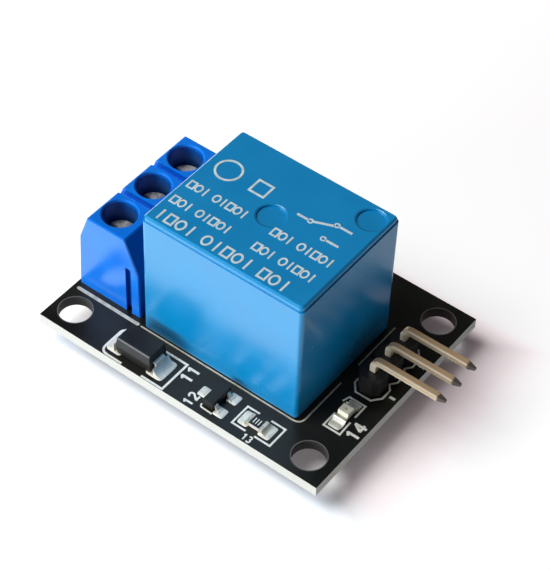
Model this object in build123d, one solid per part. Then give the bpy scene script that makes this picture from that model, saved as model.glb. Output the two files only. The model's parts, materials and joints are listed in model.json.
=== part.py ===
"""Relay module board: a cube relay, a three-pole screw terminal block, a bent three-pin header
and a few surface-mounted parts on a small drilled circuit board. All sizes are in millimetres.

The origin is the centre of the four mounting holes, on the board's underside. +X runs from the
screw terminals to the header pins, +Y along the short side, +Z up through the board.
"""
import os
from math import cos, radians, sin

from build123d import *

# Circuit board
board_thickness = 1.2
board_offset_x = 0.2          # board centre from the mounting holes' centre
hole_inset_x = 2.6            # mounting holes from the board's ends, on average
hole_inset_y = 2.65
mounting_hole_radius = 1.75
terminal_edge_gap = 0.2       # terminal block from the board's end
relay_gap = 1.0               # between terminal block and relay
header_gap = 1.98             # between relay and header
header_inset = 3.05           # header and lamp from the board's other end
front_strip = 5.25            # strip of small parts along the relay's side
rear_strip = 6.35             # bare strip along its other side
tail_length = 2.3             # trimmed pin tails under the board

# Relay case
relay_length = 19.0
relay_width = 15.4
relay_height = 15.6           # cover alone, without the feet
relay_foot_height = 0.2
cover_wall = 0.8
cover_roof = 1.0
cover_corner_radius = 0.45
cover_band_height = 0.65      # the slightly narrower band round the top
cover_band_inset = 0.12
cover_top_chamfer = 0.2
gate_mark_radius = 1.45
gate_mark_depth = 0.2
vent_mark_inset_x = 1.85      # the second round mark, from the case's corner
vent_mark_inset_y = 2.2
relay_foot_side = 1.1
relay_foot_inset_x = 0.9      # feet from the floor's ends
relay_foot_inset_y = 3.2

# Relay pins, measured from the case's faces
common_pin_inset = 2.35
coil_pin_step = 2.0           # from the common pin to the coil pins
contact_pin_inset = 2.45
side_pin_inset = 1.7
contact_blade_width = 1.0
contact_blade_thickness = 0.4
coil_pin_width = 0.55

# Relay mechanism
relay_floor_thickness = 1.8
yoke_thickness = 1.2
yoke_side_room = 3.2          # beside the yoke, to the case's outside
yoke_headroom = 4.6           # over the yoke, for armature and contacts
yoke_foot_step = 0.2          # its foot ends this much before the armature
yoke_edge_radius = 0.15       # the back edge that the armature rocks on
stake_step = 0.5              # the core's stake is this much narrower
core_share = 0.395            # core's radius as a share of the winding's
pole_share = 0.651            # and the pole face's
bobbin_play = 0.3             # between yoke and bobbin
bobbin_tube_wall = 0.5
bobbin_flange_thickness = 0.8
bobbin_side_rim = 0.2         # flange past the yoke, sideways
coil_side_step = 0.2          # winding inside the yoke's width
coil_end_margin = 0.3         # flange past the winding, lengthways
coil_pin_stub = 0.9           # coil pins above the lower flange
coil_pin_ear = 0.75
strip_room = 3.1              # between bobbin and contact strips
pole_thickness = 0.55
armature_gap = 0.05           # left between armature and iron when it is pulled in
armature_thickness = 1.0
armature_side_step = 0.3      # armature narrower than the yoke, each side
armature_to_contact = 1.45
armature_corner = 1.2
spring_thickness = 0.2
spring_width = 4.4
spring_leg_gap = 1.0          # between the leaf's end and the common pin's tab
spring_corner = 0.9
spring_nose = 0.15            # leaf past the contact
common_tab_width = 3.2
common_tab_low = 0.7          # tab staked on the yoke, from the relay's floor
common_tab_high = 3.0
contact_reach = 1.75          # contacts in front of their strips
contact_radius = 1.15
contact_thickness = 0.5
contact_gap = 0.03            # between touching faces at either end of the stroke
contact_swing = 3.2           # degrees of armature swing
shelf_width = 3.0
shelf_nose = 0.1              # shelf past its contact
make_riser_width = 3.1
make_rail_height = 1.8
break_riser_width = 2.1
break_rail_height = 0.75
break_contact_height = 0.4
strip_wall_drop = 1.6         # floor's upright wall, below the yoke's top

# Screw terminal block
terminal_pitch = 5.08
terminal_poles = 3
terminal_y = 0.0
terminal_depth = 8.0
terminal_height = 10.05
terminal_edge_chamfer = 0.12
plateau_outer_inset = 1.4     # flat top, from the wire-entry face
plateau_inner_inset = 1.8     # and from the face towards the relay
outer_knee_inset = 0.3
outer_knee_drop = 3.2         # below the flat top
inner_knee_inset = 0.1
inner_knee_drop = 4.25
pole_groove_width = 0.8
pole_groove_depth = 0.9
pole_groove_overrun = 1.2     # groove past the flat top, towards the relay
driver_hole_radius = 1.8
driver_hole_chamfer = 0.15
dovetail_inset = 1.45         # from the face towards the relay
dovetail_neck = 0.7
dovetail_root = 1.1
dovetail_depth = 0.6
dovetail_drop = 3.85          # its top, below the flat top
dovetail_play = 0.06

# Metal parts of one pole, heights measured from the board's top
cage_outer_wall = 1.17        # housing wall outside the cage
cage_inner_wall = 2.13        # housing wall towards the relay
cage_side_wall = 0.64         # housing wall between cage and the pole's edge
cage_floor_z = 0.6
cage_floor_thickness = 0.7
cage_wall = 0.5
cage_mouth = 2.3
cage_roof_thickness = 1.0
cage_play = 0.05
wire_entry_width = 3.0
wire_entry_height = 2.5
wire_entry_funnel = 0.4
wire_entry_drop = 0.1         # entry's floor below the cage's
screw_radius = 1.2
screw_play = 0.05
screw_head_radius = 1.65
screw_head_height = 1.1
screw_head_chamfer = 0.15
screw_slot_width = 0.5
screw_slot_depth = 0.6
screw_tip_gap = 0.02          # over the plate's dimple
screw_head_gap = 0.2          # over the cage when the screw is run down
screw_pitch = 0.45
screw_turns = 3.75
guard_end_room = 0.55         # plate shorter than the cage, each end
guard_width = 2.6
guard_thickness = 0.4
guard_corner = 0.35
guard_dimple_depth = 0.12
guard_play = 0.05
cage_tail_width = 1.0
cage_tail_thickness = 0.8
cage_tail_step = 0.33         # tail from the screw's axis

# Pin header
header_pitch = 2.54
header_pins = 3
header_y = 2.3
header_base_height = 2.54
header_base_notch = 0.6
pin_square = 0.64
pin_rise = 4.05               # centre line of the overhanging part above the board's top
pin_overhang = 5.15           # tips past the board's end
pin_bend_radius = 0.45        # inside of the bend
pin_point_length = 0.9
pin_point_square = 0.26

# Surface-mounted diode
diode_dx = -7.25              # from the relay's centre
diode_inset = 2.15            # from the board's side
diode_length = 4.3
diode_width = 2.6
diode_height = 2.2
diode_standoff = 0.1
diode_lead_width = 1.4
diode_lead_thickness = 0.2
diode_lead_reach = 0.35
diode_foot_length = 1.2
diode_lead_embed = 0.6
diode_solder_reach = 1.0
diode_solder_margin = 0.5
diode_solder_height = 1.0

# Surface-mounted transistor
transistor_dx = 1.95          # from the relay's centre
transistor_inset = 2.5        # from the board's side
transistor_width = 1.3
transistor_length = 2.9
transistor_height = 0.95
transistor_standoff = 0.08
transistor_lead_pitch = 1.9
transistor_lead_width = 0.42
transistor_lead_thickness = 0.13
transistor_lead_span = 2.5
transistor_foot = 0.4
transistor_lead_embed = 0.25
transistor_solder_reach = 0.35
transistor_solder_width = 0.9
transistor_solder_height = 0.16

# Chip resistor and chip lamp
chip_length = 2.0
chip_width = 1.25
chip_cap_length = 0.38
chip_cap_skin = 0.04
resistor_dx = 6.95            # from the relay's centre
resistor_inset = 2.45         # from the board's side
resistor_height = 0.55
resistor_glaze_thickness = 0.05
lamp_y = -4.65
lamp_base_height = 0.35
lamp_height = 0.85
lamp_lens_slope = 0.15
lamp_chip_side = 0.34
lamp_chip_height = 0.16

# Solder
relay_pad_radius = 1.6
coil_pad_radius = 1.1
terminal_pad_radius = 1.65
header_pad_radius = 0.92
relay_hole_radius = 0.75
coil_hole_radius = 0.5
terminal_hole_radius = 0.8
header_hole_radius = 0.52
joint_height = 0.95
joint_tip_margin = 0.12
joint_sides = 12
chip_solder_reach = 0.75
chip_solder_height = 0.42
chip_solder_margin = 0.08
wedge_edge = 0.06             # thickness left at a solder wedge's foot

# Places that follow from the sizes above
terminal_length = terminal_pitch * terminal_poles
board_length = (terminal_edge_gap + terminal_depth + relay_gap + relay_length + header_gap
                + header_pitch / 2 + header_inset)
board_width = front_strip + relay_width + rear_strip
board_x0 = board_offset_x - board_length / 2
board_x1 = board_x0 + board_length
board_y0 = -board_width / 2
hole_spacing_x = board_length - 2 * hole_inset_x
hole_spacing_y = board_width - 2 * hole_inset_y
terminal_outer_x = board_x0 + terminal_edge_gap
terminal_inner_x = terminal_outer_x + terminal_depth
relay_x = terminal_inner_x + relay_gap + relay_length / 2
relay_y = board_y0 + front_strip + relay_width / 2
header_x = board_x1 - header_inset
lamp_x = header_x
pin_tip_x = board_x1 + pin_overhang
diode_x, diode_y = relay_x + diode_dx, board_y0 + diode_inset
transistor_x, transistor_y = relay_x + transistor_dx, board_y0 + transistor_inset
resistor_x, resistor_y = relay_x + resistor_dx, board_y0 + resistor_inset
top = board_thickness
tail_z = -tail_length
cover_z0 = top + relay_foot_height
cover_z1 = cover_z0 + relay_height
relay_floor_z = cover_z0 + relay_floor_thickness

# Relay inside
common_x = relay_x - relay_length / 2 + common_pin_inset
coil_pin_x = common_x + coil_pin_step
strip_x = relay_x + relay_length / 2 - contact_pin_inset
strip_x0 = strip_x - contact_blade_thickness / 2
strip_x1 = strip_x + contact_blade_thickness / 2
side_pin_dy = relay_width / 2 - side_pin_inset
yoke_z = top + relay_height - yoke_headroom
yoke_width = relay_width - 2 * yoke_side_room
yoke_outer_x = common_x + contact_blade_thickness / 2
yoke_inner_x = yoke_outer_x + yoke_thickness
hinge_x, hinge_z = yoke_outer_x + yoke_edge_radius, yoke_z - yoke_edge_radius
bobbin_x0 = yoke_inner_x + bobbin_play
bobbin_x1 = strip_x0 - strip_room
coil_x = (bobbin_x0 + bobbin_x1) / 2
coil_half_length = (bobbin_x1 - bobbin_x0) / 2 - coil_end_margin
coil_half_width = yoke_width / 2 - coil_side_step
core_radius = coil_half_length * core_share
pole_radius = coil_half_length * pole_share
contact_x = strip_x - contact_reach
armature_x1 = contact_x - contact_radius - armature_to_contact
armature_z0 = yoke_z + armature_gap
spring_z0 = armature_z0 + armature_thickness
spring_z1 = spring_z0 + spring_thickness

# Terminal block inside
terminal_top = top + terminal_height
plateau_x0 = terminal_outer_x + plateau_outer_inset
plateau_x1 = terminal_inner_x - plateau_inner_inset
dovetail_x = terminal_inner_x - dovetail_inset
cage_x0 = terminal_outer_x + cage_outer_wall
cage_x1 = terminal_inner_x - cage_inner_wall
cage_width = terminal_pitch - 2 * cage_side_wall
screw_x = (cage_x0 + cage_x1) / 2
tail_x = screw_x + cage_tail_step
cage_z0 = top + cage_floor_z
mouth_z0 = cage_z0 + cage_floor_thickness
mouth_z1 = mouth_z0 + cage_mouth
cage_z1 = mouth_z1 + cage_roof_thickness
guard_z1 = mouth_z1 - guard_play
guard_z0 = guard_z1 - guard_thickness
screw_travel = screw_pitch * screw_turns
screw_tip_z = guard_z1 - guard_dimple_depth + screw_tip_gap
screw_head_z0 = cage_z1 + screw_travel + screw_head_gap
pin_z = top + pin_rise
pole_ys = [terminal_y + terminal_pitch * (i - 1) for i in range(terminal_poles)]
header_ys = [header_y + header_pitch * (i - 1) for i in range(header_pins)]

# Plated holes: x, y, hole radius, pad radius
relay_holes = {
    "common": (common_x, relay_y, relay_hole_radius, relay_pad_radius),
    "coil_a": (coil_pin_x, relay_y - side_pin_dy, coil_hole_radius, coil_pad_radius),
    "coil_b": (coil_pin_x, relay_y + side_pin_dy, coil_hole_radius, coil_pad_radius),
    "make": (strip_x, relay_y - side_pin_dy, relay_hole_radius, relay_pad_radius),
    "break": (strip_x, relay_y + side_pin_dy, relay_hole_radius, relay_pad_radius),
}
terminal_holes = [(tail_x, y, terminal_hole_radius, terminal_pad_radius) for y in pole_ys]
header_holes = [(header_x, y, header_hole_radius, header_pad_radius) for y in header_ys]


def block(x0, x1, y0, y1, z0, z1):
    """Box between the given planes."""
    centre = ((x0 + x1) / 2, (y0 + y1) / 2, (z0 + z1) / 2)
    return Pos(*centre) * Box(x1 - x0, y1 - y0, z1 - z0)


def square_pin(x, y, z0, z1, side):
    """Upright square bar between two heights."""
    return block(x - side / 2, x + side / 2, y - side / 2, y + side / 2, z0, z1)


def rod(x, y, z0, z1, radius):
    """Upright cylinder between two heights."""
    return Pos(x, y, (z0 + z1) / 2) * Cylinder(radius, z1 - z0)


def prism_xz(points, y0, y1):
    """Side outline in X and Z, carried along Y."""
    face = make_face(Polyline(*[(x, y0, z) for x, z in points], close=True))
    return extrude(face, amount=y1 - y0, dir=(0, 1, 0))


def prism_yz(points, x0, x1):
    """End outline in Y and Z, carried along X."""
    face = make_face(Polyline(*[(x0, y, z) for y, z in points], close=True))
    return extrude(face, amount=x1 - x0, dir=(1, 0, 0))


def prism_xy(points, z0, z1):
    """Plan outline in X and Y, carried upwards."""
    face = make_face(Polyline(*[(x, y, z0) for x, y in points], close=True))
    return extrude(face, amount=z1 - z0, dir=(0, 0, 1))


def edges_at(shape, axis, point, reach=0.05):
    """Edges along an axis whose middle is within reach of a point."""
    return [e for e in shape.edges().filter_by(axis) if (e.center() - Vector(*point)).length < reach]


def swung(shape, degrees):
    """Turned about the armature's hinge line; positive swings the contacts down."""
    hinge = Axis((hinge_x, relay_y, hinge_z), (0, 1, 0))
    return shape.rotate(hinge, degrees)


def swung_point(x, z, degrees):
    """A point of a side outline, turned about the same line."""
    a = radians(degrees)
    dx, dz = x - hinge_x, z - hinge_z
    return hinge_x + dx * cos(a) + dz * sin(a), hinge_z - dx * sin(a) + dz * cos(a)


def circuit_board():
    board = block(board_x0, board_x1, board_y0, board_y0 + board_width, 0, top)
    for sx in (-1, 1):
        for sy in (-1, 1):
            board -= rod(sx * hole_spacing_x / 2, sy * hole_spacing_y / 2, -1, top + 1, mounting_hole_radius)
    for x, y, radius, _ in list(relay_holes.values()) + terminal_holes + header_holes:
        board -= rod(x, y, -1, top + 1, radius)
    return board


def relay_cover():
    half_l, half_w = relay_length / 2, relay_width / 2
    band_z = cover_z1 - cover_band_height
    body = block(relay_x - half_l, relay_x + half_l, relay_y - half_w, relay_y + half_w, cover_z0, band_z)
    body = fillet(body.edges().filter_by(Axis.Z), cover_corner_radius)
    in_l, in_w = half_l - cover_band_inset, half_w - cover_band_inset
    band = block(relay_x - in_l, relay_x + in_l, relay_y - in_w, relay_y + in_w, band_z, cover_z1)
    band = fillet(band.edges().filter_by(Axis.Z), cover_corner_radius)
    band = chamfer(band.faces().sort_by(Axis.Z)[-1].edges(), cover_top_chamfer)
    cover = body + band
    cav_l, cav_w = half_l - cover_wall, half_w - cover_wall
    cover -= block(relay_x - cav_l, relay_x + cav_l, relay_y - cav_w, relay_y + cav_w,
                   cover_z0 - 1, cover_z1 - cover_roof)
    for dx, dy in ((0, 0), (half_l - vent_mark_inset_x, half_w - vent_mark_inset_y)):
        cover -= rod(relay_x + dx, relay_y + dy, cover_z1 - gate_mark_depth, cover_z1 + 1, gate_mark_radius)
    return cover


def contact_blades():
    """Slots in the relay's floor for the flat pins."""
    half_t, half_w = contact_blade_thickness / 2, contact_blade_width / 2
    slots = []
    for name in ("common", "make", "break"):
        x, y, _, _ = relay_holes[name]
        slots.append(block(x - half_t, x + half_t, y - half_w, y + half_w, tail_z, relay_floor_z + 1))
    return slots


def relay_base():
    half_l, half_w = relay_length / 2 - cover_wall, relay_width / 2 - cover_wall
    base = block(relay_x - half_l, relay_x + half_l, relay_y - half_w, relay_y + half_w,
                 cover_z0, relay_floor_z)
    wall_top = yoke_z - strip_wall_drop
    base += block(strip_x1, relay_x + half_l, relay_y - half_w, relay_y + half_w, relay_floor_z, wall_top)
    s = relay_foot_side / 2
    for sx in (-1, 1):
        for sy in (-1, 1):
            fx, fy = relay_x + sx * (half_l - relay_foot_inset_x), relay_y + sy * (half_w - relay_foot_inset_y)
            base += block(fx - s, fx + s, fy - s, fy + s, top, cover_z0)
    for slot in contact_blades():
        base -= slot
    for name in ("coil_a", "coil_b"):
        x, y, _, _ = relay_holes[name]
        base -= square_pin(x, y, 0, relay_floor_z + 1, coil_pin_width)
    return base


def relay_yoke():
    y0, y1 = relay_y - yoke_width / 2, relay_y + yoke_width / 2
    back = block(yoke_outer_x, yoke_inner_x, y0, y1, relay_floor_z, yoke_z)
    foot = block(yoke_outer_x, armature_x1 - yoke_foot_step, y0, y1, relay_floor_z, relay_floor_z + yoke_thickness)
    yoke = back + foot
    yoke = fillet(edges_at(yoke, Axis.Y, (yoke_outer_x, relay_y, relay_floor_z)), yoke_thickness / 2)
    yoke = fillet(edges_at(yoke, Axis.Y, (yoke_outer_x, relay_y, yoke_z)), yoke_edge_radius)
    return yoke - rod(coil_x, relay_y, relay_floor_z - 1, relay_floor_z + yoke_thickness, core_radius - stake_step)


def relay_core():
    """Iron core, staked through the yoke's foot, with a wider pole face on top."""
    foot_z = relay_floor_z + yoke_thickness
    pole_z0 = yoke_z - pole_thickness
    core = rod(coil_x, relay_y, relay_floor_z, foot_z, core_radius - stake_step)
    core += rod(coil_x, relay_y, foot_z, pole_z0, core_radius)
    return core + rod(coil_x, relay_y, pole_z0, yoke_z, pole_radius)


def bobbin_heights():
    low = relay_floor_z + yoke_thickness
    high = yoke_z - pole_thickness
    return low, low + bobbin_flange_thickness, high - bobbin_flange_thickness, high


def relay_bobbin():
    z0, z1, z2, z3 = bobbin_heights()
    half_w = yoke_width / 2 + bobbin_side_rim
    tube = rod(coil_x, relay_y, z0, z3, core_radius + bobbin_tube_wall)
    for low, high in ((z0, z1), (z2, z3)):
        tube += block(bobbin_x0, bobbin_x1, relay_y - half_w, relay_y + half_w, low, high)
    for name, side in (("coil_a", -1), ("coil_b", 1)):
        x, y, _, _ = relay_holes[name]
        near, far = sorted((relay_y + side * half_w, y + side * coil_pin_ear))
        tube += block(x - coil_pin_ear, x + coil_pin_ear, near, far, relay_floor_z, z1)
    for name in ("coil_a", "coil_b"):
        x, y, _, _ = relay_holes[name]
        tube -= square_pin(x, y, relay_floor_z - 1, z1 + 1, coil_pin_width)
    return tube - rod(coil_x, relay_y, z0 - 1, z3 + 1, core_radius)


def relay_coil():
    _, z1, z2, _ = bobbin_heights()
    coil = extrude(Pos(coil_x, relay_y, z1) * Ellipse(coil_half_length, coil_half_width), amount=z2 - z1)
    return coil - rod(coil_x, relay_y, z1 - 1, z2 + 1, core_radius + bobbin_tube_wall)


def coil_pin(name):
    x, y, _, _ = relay_holes[name]
    return square_pin(x, y, tail_z, bobbin_heights()[1] + coil_pin_stub, coil_pin_width)


def common_pin():
    """Flat pin staked to the outside of the yoke."""
    x, y, _, _ = relay_holes["common"]
    half_t, half_w = contact_blade_thickness / 2, contact_blade_width / 2
    tab_w = common_tab_width / 2
    tab_z0, tab_z1 = relay_floor_z + common_tab_low, relay_floor_z + common_tab_high
    blade = block(x - half_t, x + half_t, y - half_w, y + half_w, tail_z, tab_z0)
    tab = block(x - half_t, x + half_t, y - tab_w, y + tab_w, tab_z0, tab_z1)
    return blade + tab - relay_yoke()


def relay_armature():
    half_w = yoke_width / 2 - armature_side_step
    plate = block(yoke_outer_x, armature_x1, relay_y - half_w, relay_y + half_w, armature_z0, spring_z0)
    front = plate.edges().filter_by(Axis.Z).sort_by(Axis.X)[-2:]
    return swung(chamfer(front, armature_corner), -contact_swing)


def relay_spring():
    """Leaf staked on the armature, bent down over its back end to the outside of the yoke."""
    half_w = spring_width / 2
    end_x = contact_x + contact_radius + spring_nose
    outer_x = yoke_outer_x - spring_thickness
    arm = block(outer_x, end_x, relay_y - half_w, relay_y + half_w, spring_z0, spring_z1)
    front = arm.edges().filter_by(Axis.Z).sort_by(Axis.X)[-2:]
    arm = swung(chamfer(front, spring_corner), -contact_swing)
    leg_z0 = relay_floor_z + common_tab_high + spring_leg_gap
    leg = prism_xz([(outer_x, leg_z0), (yoke_outer_x, leg_z0), (yoke_outer_x, yoke_z),
                    swung_point(yoke_outer_x, armature_z0, -contact_swing),
                    swung_point(yoke_outer_x, spring_z0, -contact_swing),
                    swung_point(outer_x, spring_z1, -contact_swing),
                    swung_point(outer_x, armature_z0, -contact_swing), (outer_x, yoke_z)],
                   relay_y - half_w, relay_y + half_w)
    leaf = arm + leg
    rivet = swung(rod(contact_x, relay_y, spring_z0 - 1, spring_z1 + 1, contact_radius / 2), -contact_swing)
    return leaf - rivet


def moving_contact():
    """Double-headed contact rivet through the leaf's end."""
    low = rod(contact_x, relay_y, spring_z0 - contact_thickness, spring_z0, contact_radius)
    high = rod(contact_x, relay_y, spring_z1, spring_z1 + contact_thickness, contact_radius)
    neck = rod(contact_x, relay_y, spring_z0, spring_z1, contact_radius / 2)
    return swung(low + neck + high, -contact_swing)


def make_contact():
    """Lower contact button, closed when the armature is pulled in."""
    z1 = spring_z0 - contact_thickness - contact_gap
    return rod(contact_x, relay_y, z1 - contact_thickness, z1, contact_radius)


def make_strip():
    x, y, _, _ = relay_holes["make"]
    y0 = y - contact_blade_width / 2
    shelf_z1 = spring_z0 - 2 * contact_thickness - contact_gap
    shelf_y0, shelf_y1 = relay_y - shelf_width / 2, relay_y + shelf_width / 2
    blade = block(strip_x0, strip_x1, y0, y0 + contact_blade_width, tail_z, relay_floor_z)
    riser = block(strip_x0, strip_x1, y0, y0 + make_riser_width, relay_floor_z, shelf_z1)
    rail = block(strip_x0, strip_x1, y0, shelf_y1, shelf_z1 - make_rail_height, shelf_z1)
    shelf = block(contact_x - contact_radius - shelf_nose, strip_x1, shelf_y0, shelf_y1,
                  shelf_z1 - contact_blade_thickness, shelf_z1)
    return blade + riser + rail + shelf


def break_contact():
    """Upper contact button, closed while the armature is at rest."""
    z0 = spring_z1 + contact_thickness + contact_gap
    return swung(rod(contact_x, relay_y, z0, z0 + break_contact_height, contact_radius), -contact_swing)


def break_strip():
    x, y, _, _ = relay_holes["break"]
    y1 = y + contact_blade_width / 2
    button_z1 = spring_z1 + contact_thickness + contact_gap + break_contact_height
    shelf_y0, shelf_y1 = relay_y - shelf_width / 2, relay_y + shelf_width / 2
    shelf = block(contact_x - contact_radius - shelf_nose, strip_x1, shelf_y0, shelf_y1,
                  button_z1, button_z1 + contact_blade_thickness)
    shelf = swung(shelf, -contact_swing)
    rail_z1 = shelf.bounding_box().max.Z
    blade = block(strip_x0, strip_x1, y1 - contact_blade_width, y1, tail_z, relay_floor_z)
    riser = block(strip_x0, strip_x1, y1 - break_riser_width, y1, relay_floor_z, rail_z1)
    rail = block(strip_x0, strip_x1, shelf_y0, y1, rail_z1 - break_rail_height, rail_z1)
    behind = block(strip_x1, relay_x + relay_length / 2, shelf_y0, shelf_y1, relay_floor_z, cover_z1)
    return blade + riser + rail + shelf - behind


def terminal_outline():
    """Side outline of the terminal block, from the wire-entry foot round to the relay side."""
    return [(terminal_outer_x, top), (terminal_outer_x + outer_knee_inset, terminal_top - outer_knee_drop),
            (plateau_x0, terminal_top), (plateau_x1, terminal_top),
            (terminal_inner_x - inner_knee_inset, terminal_top - inner_knee_drop), (terminal_inner_x, top)]


def dovetail(y0, direction, play):
    """Upright dovetail rib rooted at an end face."""
    neck, root = dovetail_neck / 2 - play, dovetail_root / 2 - play
    outline = [(dovetail_x - neck, y0), (dovetail_x + neck, y0),
               (dovetail_x + root, y0 + direction * (dovetail_depth - play)),
               (dovetail_x - root, y0 + direction * (dovetail_depth - play))]
    return prism_xy(outline, top, terminal_top - dovetail_drop - play)


def terminal_housing():
    y0, y1 = terminal_y - terminal_length / 2, terminal_y + terminal_length / 2
    housing = prism_xz(terminal_outline(), y0, y1)
    upper = [e for e in housing.edges() if e.center().Z > top + terminal_edge_chamfer]
    housing = chamfer(upper, terminal_edge_chamfer)
    for i in range(terminal_poles - 1):
        y = pole_ys[i] + terminal_pitch / 2
        housing -= block(terminal_outer_x, plateau_x1 + pole_groove_overrun, y - pole_groove_width / 2,
                         y + pole_groove_width / 2, terminal_top - pole_groove_depth, terminal_top + 1)
    half_w = cage_width / 2 + cage_play
    for y in pole_ys:
        housing -= block(cage_x0 - cage_play, cage_x1 + cage_play, y - half_w, y + half_w,
                         top - 1, cage_z1 + cage_play)
        housing -= rod(screw_x, y, cage_z1, terminal_top + 1, driver_hole_radius)
        rim = Pos(screw_x, y, terminal_top - driver_hole_chamfer / 2) * Cone(
            driver_hole_radius, driver_hole_radius + driver_hole_chamfer, driver_hole_chamfer)
        housing -= rim
        housing -= wire_entry(y)
    housing -= dovetail(y0, 1, 0)
    return housing + dovetail(y1, 1, dovetail_play)


def wire_entry(y):
    """Rectangular entry through the outer wall, flared at its mouth."""
    half_w = wire_entry_width / 2
    z0 = mouth_z0 - wire_entry_drop
    z1 = z0 + wire_entry_height
    passage = block(terminal_outer_x, cage_x0, y - half_w, y + half_w, z0, z1)
    mouth = Plane((terminal_outer_x, y, (z0 + z1) / 2), x_dir=(0, 1, 0), z_dir=(1, 0, 0))
    wide = wire_entry_width + 2 * wire_entry_funnel
    high = wire_entry_height + 2 * wire_entry_funnel
    flare = loft([mouth * Rectangle(wide, high),
                  mouth.offset(2 * wire_entry_funnel) * Rectangle(wire_entry_width, wire_entry_height)])
    return passage + flare


def terminal_cage(y):
    """Clamping cage with its solder tail; the screw runs through the roof."""
    half_w = cage_width / 2
    cage = block(cage_x0, cage_x1, y - half_w, y + half_w, cage_z0, cage_z1)
    cage -= block(cage_x0 - 1, cage_x1 + 1, y - half_w + cage_wall, y + half_w - cage_wall, mouth_z0, mouth_z1)
    cage -= rod(screw_x, y, mouth_z1 - 1, cage_z1 + 1, screw_radius + screw_play)
    half_t, half_b = cage_tail_thickness / 2, cage_tail_width / 2
    return cage + block(tail_x - half_t, tail_x + half_t, y - half_b, y + half_b, tail_z, cage_z0)


def terminal_screw(y):
    """Slotted clamping screw in its open place."""
    head = rod(screw_x, y, screw_head_z0, screw_head_z0 + screw_head_height, screw_head_radius)
    head = chamfer(head.edges().sort_by(Axis.Z)[-1], screw_head_chamfer)
    shank = rod(screw_x, y, screw_tip_z, screw_head_z0, screw_radius)
    slot_z1 = screw_head_z0 + screw_head_height
    slot = block(screw_x - screw_head_radius, screw_x + screw_head_radius, y - screw_slot_width / 2,
                 y + screw_slot_width / 2, slot_z1 - screw_slot_depth, slot_z1)
    return head + shank - slot


def terminal_guard(y):
    """Pressure plate under the screw's tip, which keeps the thread off the wire."""
    half_w = guard_width / 2
    plate = block(cage_x0 + guard_end_room, cage_x1 - guard_end_room, y - half_w, y + half_w, guard_z0, guard_z1)
    plate = chamfer(plate.edges().filter_by(Axis.Z), guard_corner)
    return plate - rod(screw_x, y, guard_z1 - guard_dimple_depth, guard_z1 + 1, screw_radius + screw_play)


def header_base():
    """Insulator bar with notched corners between the pins."""
    half = header_pitch / 2
    base = None
    for y in header_ys:
        outline = [(header_x - half, y - half + header_base_notch), (header_x - half + header_base_notch, y - half),
                   (header_x + half - header_base_notch, y - half), (header_x + half, y - half + header_base_notch),
                   (header_x + half, y + half - header_base_notch), (header_x + half - header_base_notch, y + half),
                   (header_x - half + header_base_notch, y + half), (header_x - half, y + half - header_base_notch)]
        cell = prism_xy(outline, top, top + header_base_height)
        base = cell if base is None else base + cell
    for y in header_ys:
        base -= square_pin(header_x, y, 0, top + header_base_height + 1, pin_square)
    return base


def header_pin(y):
    """Square pin, up through the insulator and bent over the board's edge."""
    s = pin_square / 2
    point_x = pin_tip_x - pin_point_length
    pin = square_pin(header_x, y, tail_z, pin_z + s, pin_square)
    pin += block(header_x - s, point_x, y - s, y + s, pin_z - s, pin_z + s)
    pin = fillet(edges_at(pin, Axis.Y, (header_x - s, y, pin_z + s)), pin_bend_radius + pin_square)
    pin = fillet(edges_at(pin, Axis.Y, (header_x + s, y, pin_z - s)), pin_bend_radius)
    point = loft([
        Plane((point_x, y, pin_z), x_dir=(0, 1, 0), z_dir=(1, 0, 0)) * Rectangle(pin_square, pin_square),
        Plane((pin_tip_x, y, pin_z), x_dir=(0, 1, 0), z_dir=(1, 0, 0)) * Rectangle(pin_point_square, pin_point_square)])
    return pin + point


def tapered_body(x, y, length, width, z0, height, draft, parting=0.5):
    """Moulded body, widest at its parting line."""
    mid = z0 + height * parting
    upper = extrude(Plane((x, y, mid)) * Rectangle(length, width), amount=z0 + height - mid, taper=draft)
    lower = extrude(Plane((x, y, mid), z_dir=(0, 0, -1)) * Rectangle(length, width), amount=mid - z0, taper=draft)
    return upper + lower


def diode_lead(side):
    """Strip out of the body's end, down and folded back under it. Side is -1 or +1 along X."""
    mid = top + diode_standoff + diode_height / 2
    t = diode_lead_thickness
    end = diode_length / 2
    outer = end + diode_lead_reach
    def at(u, z):
        return (diode_x + side * u, z)
    root = end - diode_lead_embed
    outline = [at(root, mid + t / 2), at(outer, mid + t / 2), at(outer, top), at(outer - diode_foot_length, top),
               at(outer - diode_foot_length, top + diode_standoff), at(outer - t, top + diode_standoff),
               at(outer - t, mid - t / 2), at(root, mid - t / 2)]
    half_w = diode_lead_width / 2
    lead = prism_xz(outline, diode_y - half_w, diode_y + half_w)
    corner = edges_at(lead, Axis.Y, (diode_x + side * outer, diode_y, mid + t / 2))
    corner += edges_at(lead, Axis.Y, (diode_x + side * outer, diode_y, top))
    return fillet(corner, t * 0.9)


def diode_body():
    body = tapered_body(diode_x, diode_y, diode_length, diode_width, top + diode_standoff, diode_height, 6)
    for side in (-1, 1):
        body -= diode_lead(side)
    return body


def transistor_lead(side, y):
    """Gull-wing lead: out of the body, down and flat onto its pad."""
    t = transistor_lead_thickness
    mid = top + transistor_standoff + transistor_height * 0.5
    root = transistor_width / 2 - transistor_lead_embed
    outer = transistor_lead_span / 2
    bend = outer - transistor_foot
    def at(u, z):
        return (transistor_x + side * u, z)
    outline = [at(root, mid + t / 2), at(bend - t * 0.4, mid + t / 2), at(bend + t * 0.8, top + t),
               at(outer, top + t), at(outer, top), at(bend - t * 0.2, top), at(bend - t * 1.4, mid - t / 2),
               at(root, mid - t / 2)]
    return prism_xz(outline, y - transistor_lead_width / 2, y + transistor_lead_width / 2)


def transistor_lead_places():
    half = transistor_lead_pitch / 2
    return [(-1, transistor_y), (1, transistor_y + half), (1, transistor_y - half)]


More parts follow.
